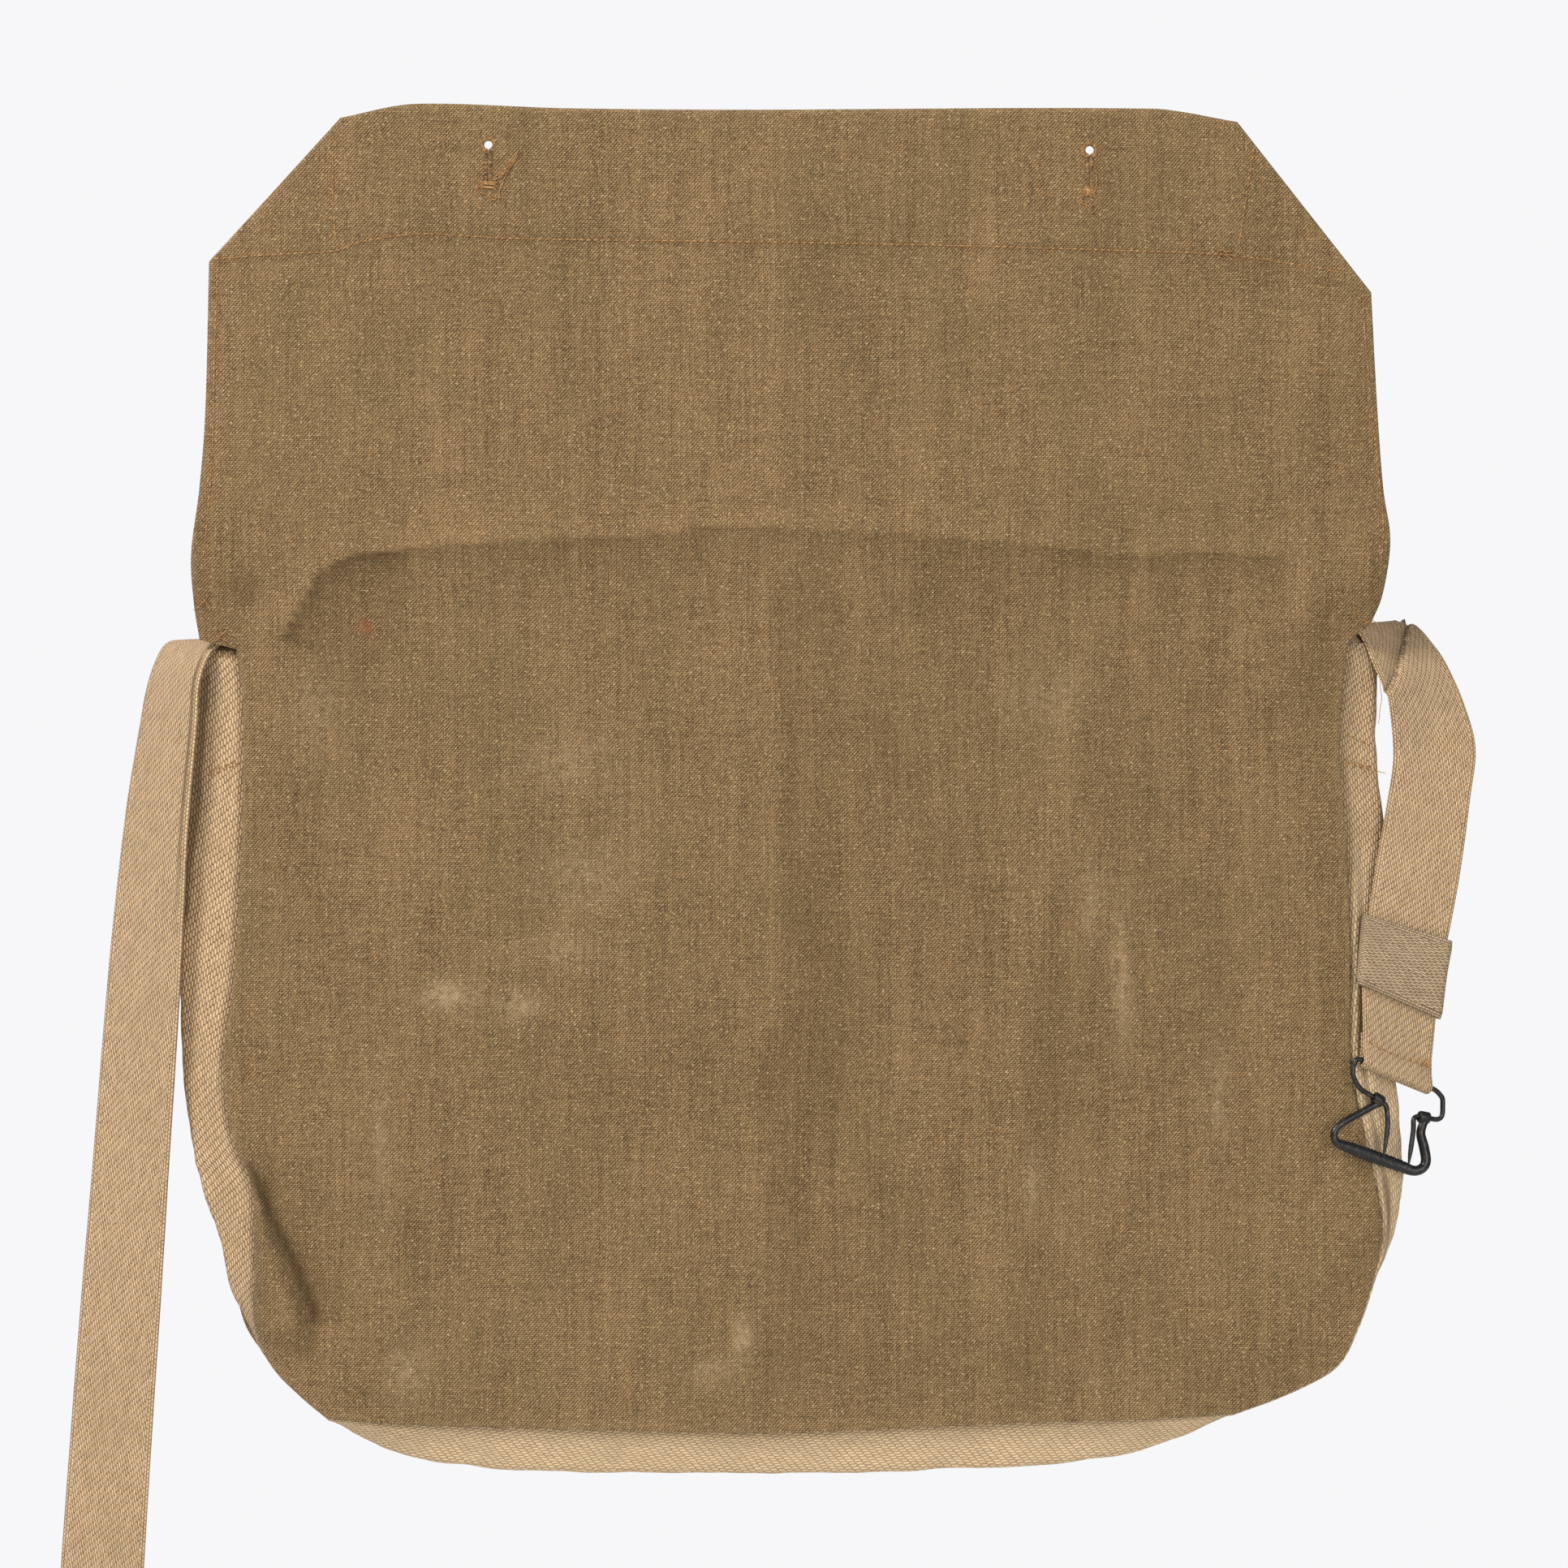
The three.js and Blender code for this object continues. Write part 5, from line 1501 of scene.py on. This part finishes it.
def worked_hole(threads, purl, picker, x, y, z):
    """Radial threads round one eyelet, threads along its slit and a bar tack at the slit's end."""
    radius = eyelet_diameter / 2
    inner = radius * 0.92
    base = np.array([x, y, z])
    for k in range(spokes):
        turn = 2 * math.pi * k / spokes
        if abs(turn - 1.5 * math.pi) < slit_gap:
            continue
        reach = picker.uniform(1.2, 1.7)
        way = np.array([math.cos(turn), 0, math.sin(turn)])
        line = [base + way * (inner + reach * share) + (0, depth, 0) for share, depth in eyelet_spoke]
        threads.add(line, 0.2, 5)
    top = z - radius
    for row in range(int(slit_length / slit_pitch)):
        at = top - 0.1 - row * slit_pitch
        for way in (-1, 1):
            reach = picker.uniform(1.2, 1.8)
            tilt = picker.uniform(-0.2, 0.2)
            worked = threads if picker.random() < 0.25 else purl
            worked.add([(x + way * (0.12 + reach * share), y + depth, at + tilt * rise)
                        for share, depth, rise in slit_spoke], 0.24, 5)
    for k in range(tack_threads):
        at = top - slit_length - 0.15 + picker.uniform(-1.4, 1.0)
        wide = picker.uniform(2.6, 4.0)
        droop = picker.uniform(-0.7, 0.7)
        threads.add([(x - wide, y + 0.1, at + droop), (x - wide * 0.4, y - 0.35, at + 0.2),
                     (x + wide * 0.3, y - 0.4, at), (x + wide, y + 0.05, at - droop)],
                    picker.uniform(0.13, 0.22), 5)


def buttonhole_work():
    threads = Threads()
    purl = Threads()
    picker = random.Random(7)
    for side, down in buttonholes:
        x, z = side * flap_width, -down * flap_rise
        worked_hole(threads, purl, picker, x, surface_depth(back, x + 4, z), z)
    threads.finish("buttonhole_threads", thread)
    purl.finish("buttonhole_purl", dull_thread)


def lay_thread(threads, pixels, radius, lift, seed, waves=0.4):
    """A loose thread lying on the back panel, or standing off where it passes the edge."""
    phase = random.Random(seed).uniform(0, 6)
    points = []
    last_y = 1.0
    for k, (x, z) in enumerate(photo_line(pixels, 26)):
        y = surface_depth(back, x, z)
        last_y = y if y is not None else last_y
        off = lift * math.sin(math.pi * k / 25) + waves * 0.5 * math.sin(k * 0.7 + phase)
        points.append((x + waves * 0.35 * math.sin(k * 0.55 + phase), last_y - radius - abs(off), z))
    threads.add(points, radius, 5, taper=0.5)


flap_threads = [
    [(612, 215), (626, 206), (640, 184)], [(610, 217), (622, 212), (636, 190)],
    [(606, 222), (618, 216), (632, 193)], [(614, 245), (620, 222), (641, 186)],
    [(598, 236), (605, 242), (616, 244)], [(586, 232), (594, 229), (612, 234)],
    [(600, 240), (608, 246), (612, 240)], [(587, 229), (590, 236), (600, 240)],
    [(1330, 243), (1340, 240), (1350, 244)], [(1328, 248), (1342, 254), (1352, 250)],
    [(1346, 200), (1351, 215), (1349, 238)], [(1336, 250), (1344, 262), (1352, 256)],
    [(1338, 236), (1332, 246), (1340, 252)], [(1499, 313), (1506, 307), (1512, 314)],
    [(1500, 318), (1508, 311), (1518, 309)], [(1505, 312), (1516, 318), (1524, 327), (1522, 333)],
    [(1506, 308), (1502, 316), (1509, 320)], [(1510, 313), (1519, 315), (1528, 320)],
]
edge_threads = [
    [(264, 728), (268, 737), (266, 746)], [(251, 738), (258, 748), (262, 760)],
    [(238, 752), (248, 744), (256, 736)], [(268, 790), (273, 781), (271, 772)],
    [(262, 786), (272, 783), (280, 776)], [(1700, 835), (1702, 862), (1698, 892)],
    [(1655, 941), (1682, 946), (1708, 953)], [(1674, 766), (1668, 757), (1676, 752)],
    [(1680, 770), (1690, 764), (1700, 772)], [(1668, 772), (1676, 764), (1690, 768)],
    [(262, 792), (272, 786), (286, 796)], [(300, 798), (292, 786), (280, 780)],
    [(1068, 400), (1072, 420), (1069, 440)],
]


def loose_threads(name, lines, radius, lift, seed):
    threads = Threads()
    for k, pixels in enumerate(lines):
        lay_thread(threads, pixels, radius, lift, seed + k)
    threads.finish(name, thread)


panel_stitches()
webbing_stitches()
buttonhole_work()
loose_threads("flap_loose_threads", flap_threads, 0.17, 0.3, 0)
loose_threads("edge_loose_threads", edge_threads, 0.12, 0.6, 40)

# Buttons, floor and light


def dress_button(name):
    """Gives a button its finish; it stays in its CAD shape."""
    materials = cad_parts[name].data.materials
    materials.clear()
    materials.append(button_finish)


def button_threads(names):
    """Crossed threads through each button's four holes."""
    threads = Threads()
    for name in names:
        low, high = (np.array(corner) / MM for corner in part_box(name))
        x, z = (low[0] + high[0]) / 2, (low[2] + high[2]) / 2
        top = high[1] - 0.65
        for slant in (1, -1):
            for shift in (-0.25, 0.25):
                threads.add([(x + 2 * way + shift, top + rise, z + 2 * way * slant) for way, rise in (
                    (-1, -2.0), (-1, 0.1), (0, 0.45), (1, 0.1), (1, -2.0))], 0.28)
    threads.finish("button_threads", thread)


def add_floor(below, half=900):
    points = [(-half, -half, below), (half, -half, below), (half, half, below), (-half, half, below)]
    paint = finish_material("floor", 0.8, lambda tree: {"Base Color": srgb(232, 232, 234)})
    add_object("floor", points, [(0, 1, 2, 3)], paint, smooth=False)


buttons = ("button_left", "button_right")
for button in buttons:
    dress_button(button)
button_threads(buttons)
add_floor(cad_box[0][2] / MM - 210)


def add_area_light(name, place, size, power, colour):
    data = bpy.data.lights.new(name, "AREA")
    data.energy = power
    data.size = size
    data.color = colour
    lamp = bpy.data.objects.new(name, data)
    lamp.location = place
    way = Vector(middle_of_bag) - Vector(place)
    lamp.rotation_euler = way.to_track_quat("-Z", "Y").to_euler()
    bpy.context.scene.collection.objects.link(lamp)


def add_world():
    world = bpy.data.worlds.new("studio")
    world.use_nodes = True
    tree = world.node_tree
    background = tree.nodes["Background"]
    background.inputs["Color"].default_value = (0.93, 0.93, 0.945, 1.0)
    path = tree.nodes.new("ShaderNodeLightPath")
    strength = tree.nodes.new("ShaderNodeMapRange")
    strength.inputs["To Min"].default_value = 0.34
    strength.inputs["To Max"].default_value = 1.0
    tree.links.new(path.outputs["Is Camera Ray"], strength.inputs["Value"])
    tree.links.new(strength.outputs["Result"], background.inputs["Strength"])
    bpy.context.scene.world = world


add_world()
middle_of_bag = (0, 0, -0.25)
lamps = [
    ("key", (-1.15, -1.15, 1.2), 0.55, 48, (1.0, 0.98, 0.955)),
    ("fill", (1.1, -2.3, -0.1), 1.6, 37, (1.0, 0.985, 0.97)),
    ("rear", (-0.8, 1.9, 0.6), 1.4, 40, (1.0, 1.0, 1.0)),
]
for lamp in lamps:
    add_area_light(*lamp)
bpy.context.scene.view_settings.view_transform = "Standard"
